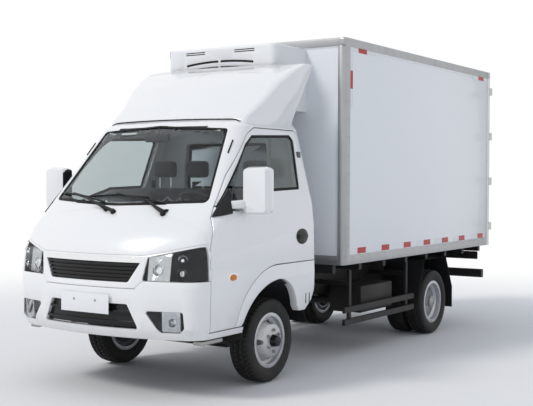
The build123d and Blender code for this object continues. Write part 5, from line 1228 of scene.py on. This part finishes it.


# The slots' walls and floors take the black rubber finish as painted shade for the unlit inside.
split_off(bpy.data.objects["reefer_unit_skin"], in_slot, "unit_slot_shade", seal_rubber_and_slot_shade,
          "reefer_unit")
fin_pitch = 0.012
fin_count = 54
fin = block((-0.324, unit_low.y + 0.0055, 2.215), (-0.3232, unit_low.y + 0.0125, 2.525), 0.0002, 1)
fins = repeated(fin, [(index * fin_pitch, 0, 0) for index in range(1, fin_count)])
settle(fins, "unit_fins", "root", bolt_metal)

# %% [markdown]
# ## Seats
# The seats are foam under cloth. Each pad starts as a smaller block, is remeshed into even
# squares, and is blown up by Blender's Cloth, so its faces crown and its edges pull in. How far
# a point may move is capped. A cord of piping is left off, as these seats have none.

# %% Blow up a pad
def pad(name, low, high, finish, rounding=0.03, cap=0.022, lean=0.0):
    """One stuffed pad between two corners; lean shifts its top backwards."""
    piece = block(low, high, rounding, 4)
    if lean:
        pick(piece)
        bpy.ops.object.transform_apply(location=True, rotation=True, scale=True)
        for point in piece.data.vertices:
            point.co.y += lean * (point.co.z - low[2]) / (high[2] - low[2])
    shaped(piece, "REMESH", mode="VOXEL", voxel_size=0.012)
    before = [point.co.copy() for point in piece.data.vertices]
    cloth = piece.modifiers.new("cloth", "CLOTH")
    cloth.settings.use_pressure = True
    cloth.settings.uniform_pressure_force = 4
    cloth.settings.effector_weights.gravity = 0
    for moment in range(1, 21):
        bpy.context.scene.frame_set(moment)
    bpy.ops.object.modifier_apply(modifier="cloth")
    bpy.context.scene.frame_set(1)
    for point, start in zip(piece.data.vertices, before):
        step = point.co - start
        if step.length > cap:
            point.co = start + step * (cap / step.length)
    shaped(piece, "SUBSURF", levels=1, render_levels=1)
    settle(piece, name, "root", finish, 80)
    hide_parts("seats")
    return piece


# %% Seven pads and their posts
seat_front_y = front_axle_y - 0.330
seat_back_y = seat_front_y + 0.520
platform_z = 0.832
back_top_z = 1.500
swell = 0.016
for name, middle, half, rests in (("driver", 0.420, 0.235, (0.420,)),
                                  ("bench", -0.330, 0.340, (-0.500, -0.160))):
    left, right = middle - half + swell, middle + half - swell
    pad(name + "_cushion", (left, seat_front_y + swell, platform_z + 0.004),
        (right, seat_back_y, platform_z + 0.130 - swell / 2), seat_cloth)
    pad(name + "_back", (left, seat_back_y + swell / 2, platform_z + 0.02),
        (right, seat_back_y + 0.112, back_top_z - swell), seat_cloth, lean=0.088)
    for index, x in enumerate(rests):
        rest_y = seat_back_y + 0.150
        pad(f"{name}_headrest_{index + 1}", (x - 0.112, rest_y - 0.034, 1.552),
            (x + 0.112, rest_y + 0.034, 1.692), headrest_cloth, cap=0.013)
        post = round_bar((x - 0.06, rest_y, 1.40), (x - 0.06, rest_y, 1.60), 0.006, 16)
        posts = repeated(post, [(0.12, 0, 0)])
        settle(posts, f"{name}_posts_{index + 1}", "root", chrome)
print("seven pads")

# %% [markdown]
# ## In the cab
# A mirror hangs over the windscreen, two visors lie against the headliner, a gear lever stands by
# the driver and a belt hangs from each door pillar.

# %% Mirror, visors, lever and belts
mirror_half, visor_half = 0.115, 0.19
cab_mirror = block((-mirror_half, front_axle_y - 0.385, 1.822),
                   (mirror_half, front_axle_y - 0.362, 1.886), 0.009, 3)
mirror_stem = round_bar((0, front_axle_y - 0.365, 1.86), (0, front_axle_y - 0.340, 1.925),
                        0.007, 12)
settle(joined([cab_mirror, mirror_stem]), "cab_mirror", "root", dash_plastic)
visors = []
for x in (-0.36, 0.36):
    visors.append(block((x - visor_half, front_axle_y - 0.315, 1.893),
                        (x + visor_half, front_axle_y - 0.175, 1.909), 0.007, 3))
settle(joined(visors), "sun_visors", "root", grey_lining)
lever_y = front_axle_y - 0.36
lever = round_bar((0.135, lever_y - 0.06, 0.83), (0.125, lever_y, 1.08), 0.008, 16)
knob = round_bar((0.125, lever_y, 1.07), (0.123, lever_y + 0.008, 1.12), 0.022, 20, 0.008)
boot = round_bar((0.135, lever_y - 0.065, 0.825), (0.133, lever_y - 0.05, 0.90), 0.052, 24,
                 0.004, 0.35)
settle(joined([lever, knob, boot]), "gear_lever", "root", black_plastic)
belts = []
belt_y = front_axle_y + 0.475
for x in (-0.745, 0.745):
    belts.append(block((x - 0.0008, belt_y - 0.023, 0.86), (x + 0.0008, belt_y + 0.023, 1.72),
                       0.0003, 1))
    belts.append(block((x - 0.006, belt_y - 0.028, 1.70), (x + 0.006, belt_y + 0.028, 1.76),
                       0.004, 2))
settle(joined(belts), "seat_belts", "root", seat_cloth)
print("cab fittings")

# %% [markdown]
# ## Floor
# A plain pale floor holds the truck's shadow. Far from the truck it fades into the white
# backdrop, so no horizon shows: camera, mirror and glass rays see white there.

# %% Lay the floor and finish
bpy.ops.object.select_all(action="DESELECT")
bpy.ops.mesh.primitive_plane_add(size=120, location=(0, 0, 0))
floor = bpy.context.active_object
floor.name = "floor"
floor_finish = new_finish("floor_finish", ((0.86, 0.86, 0.86), (0.84, 0.84, 0.84)), 0.9,
                          drift=0.8, grain=200)
tree = floor_finish.node_tree
far = tree.nodes.new("ShaderNodeVectorMath")
far.operation = "LENGTH"
tree.links.new(tree.nodes["Texture Coordinate"].outputs["Object"], far.inputs[0])
fade = add_node(tree, "MapRange", From_Min=3.2, From_Max=9.0)
fade.interpolation_type = "SMOOTHSTEP"
wire(tree, fade, Value=far.outputs["Value"])
white = tree.nodes.new("ShaderNodeEmission")
mixed = add_node(tree, "MixShader",
                 Fac=worked_out(tree, "MULTIPLY", fade.outputs["Result"], seen_rays(tree)))
tree.links.new(tree.nodes["Principled BSDF"].outputs["BSDF"], mixed.inputs[1])
tree.links.new(white.outputs["Emission"], mixed.inputs[2])
wire(tree, tree.nodes["Material Output"], Surface=mixed.outputs["Shader"])
floor.data.materials.append(floor_finish)
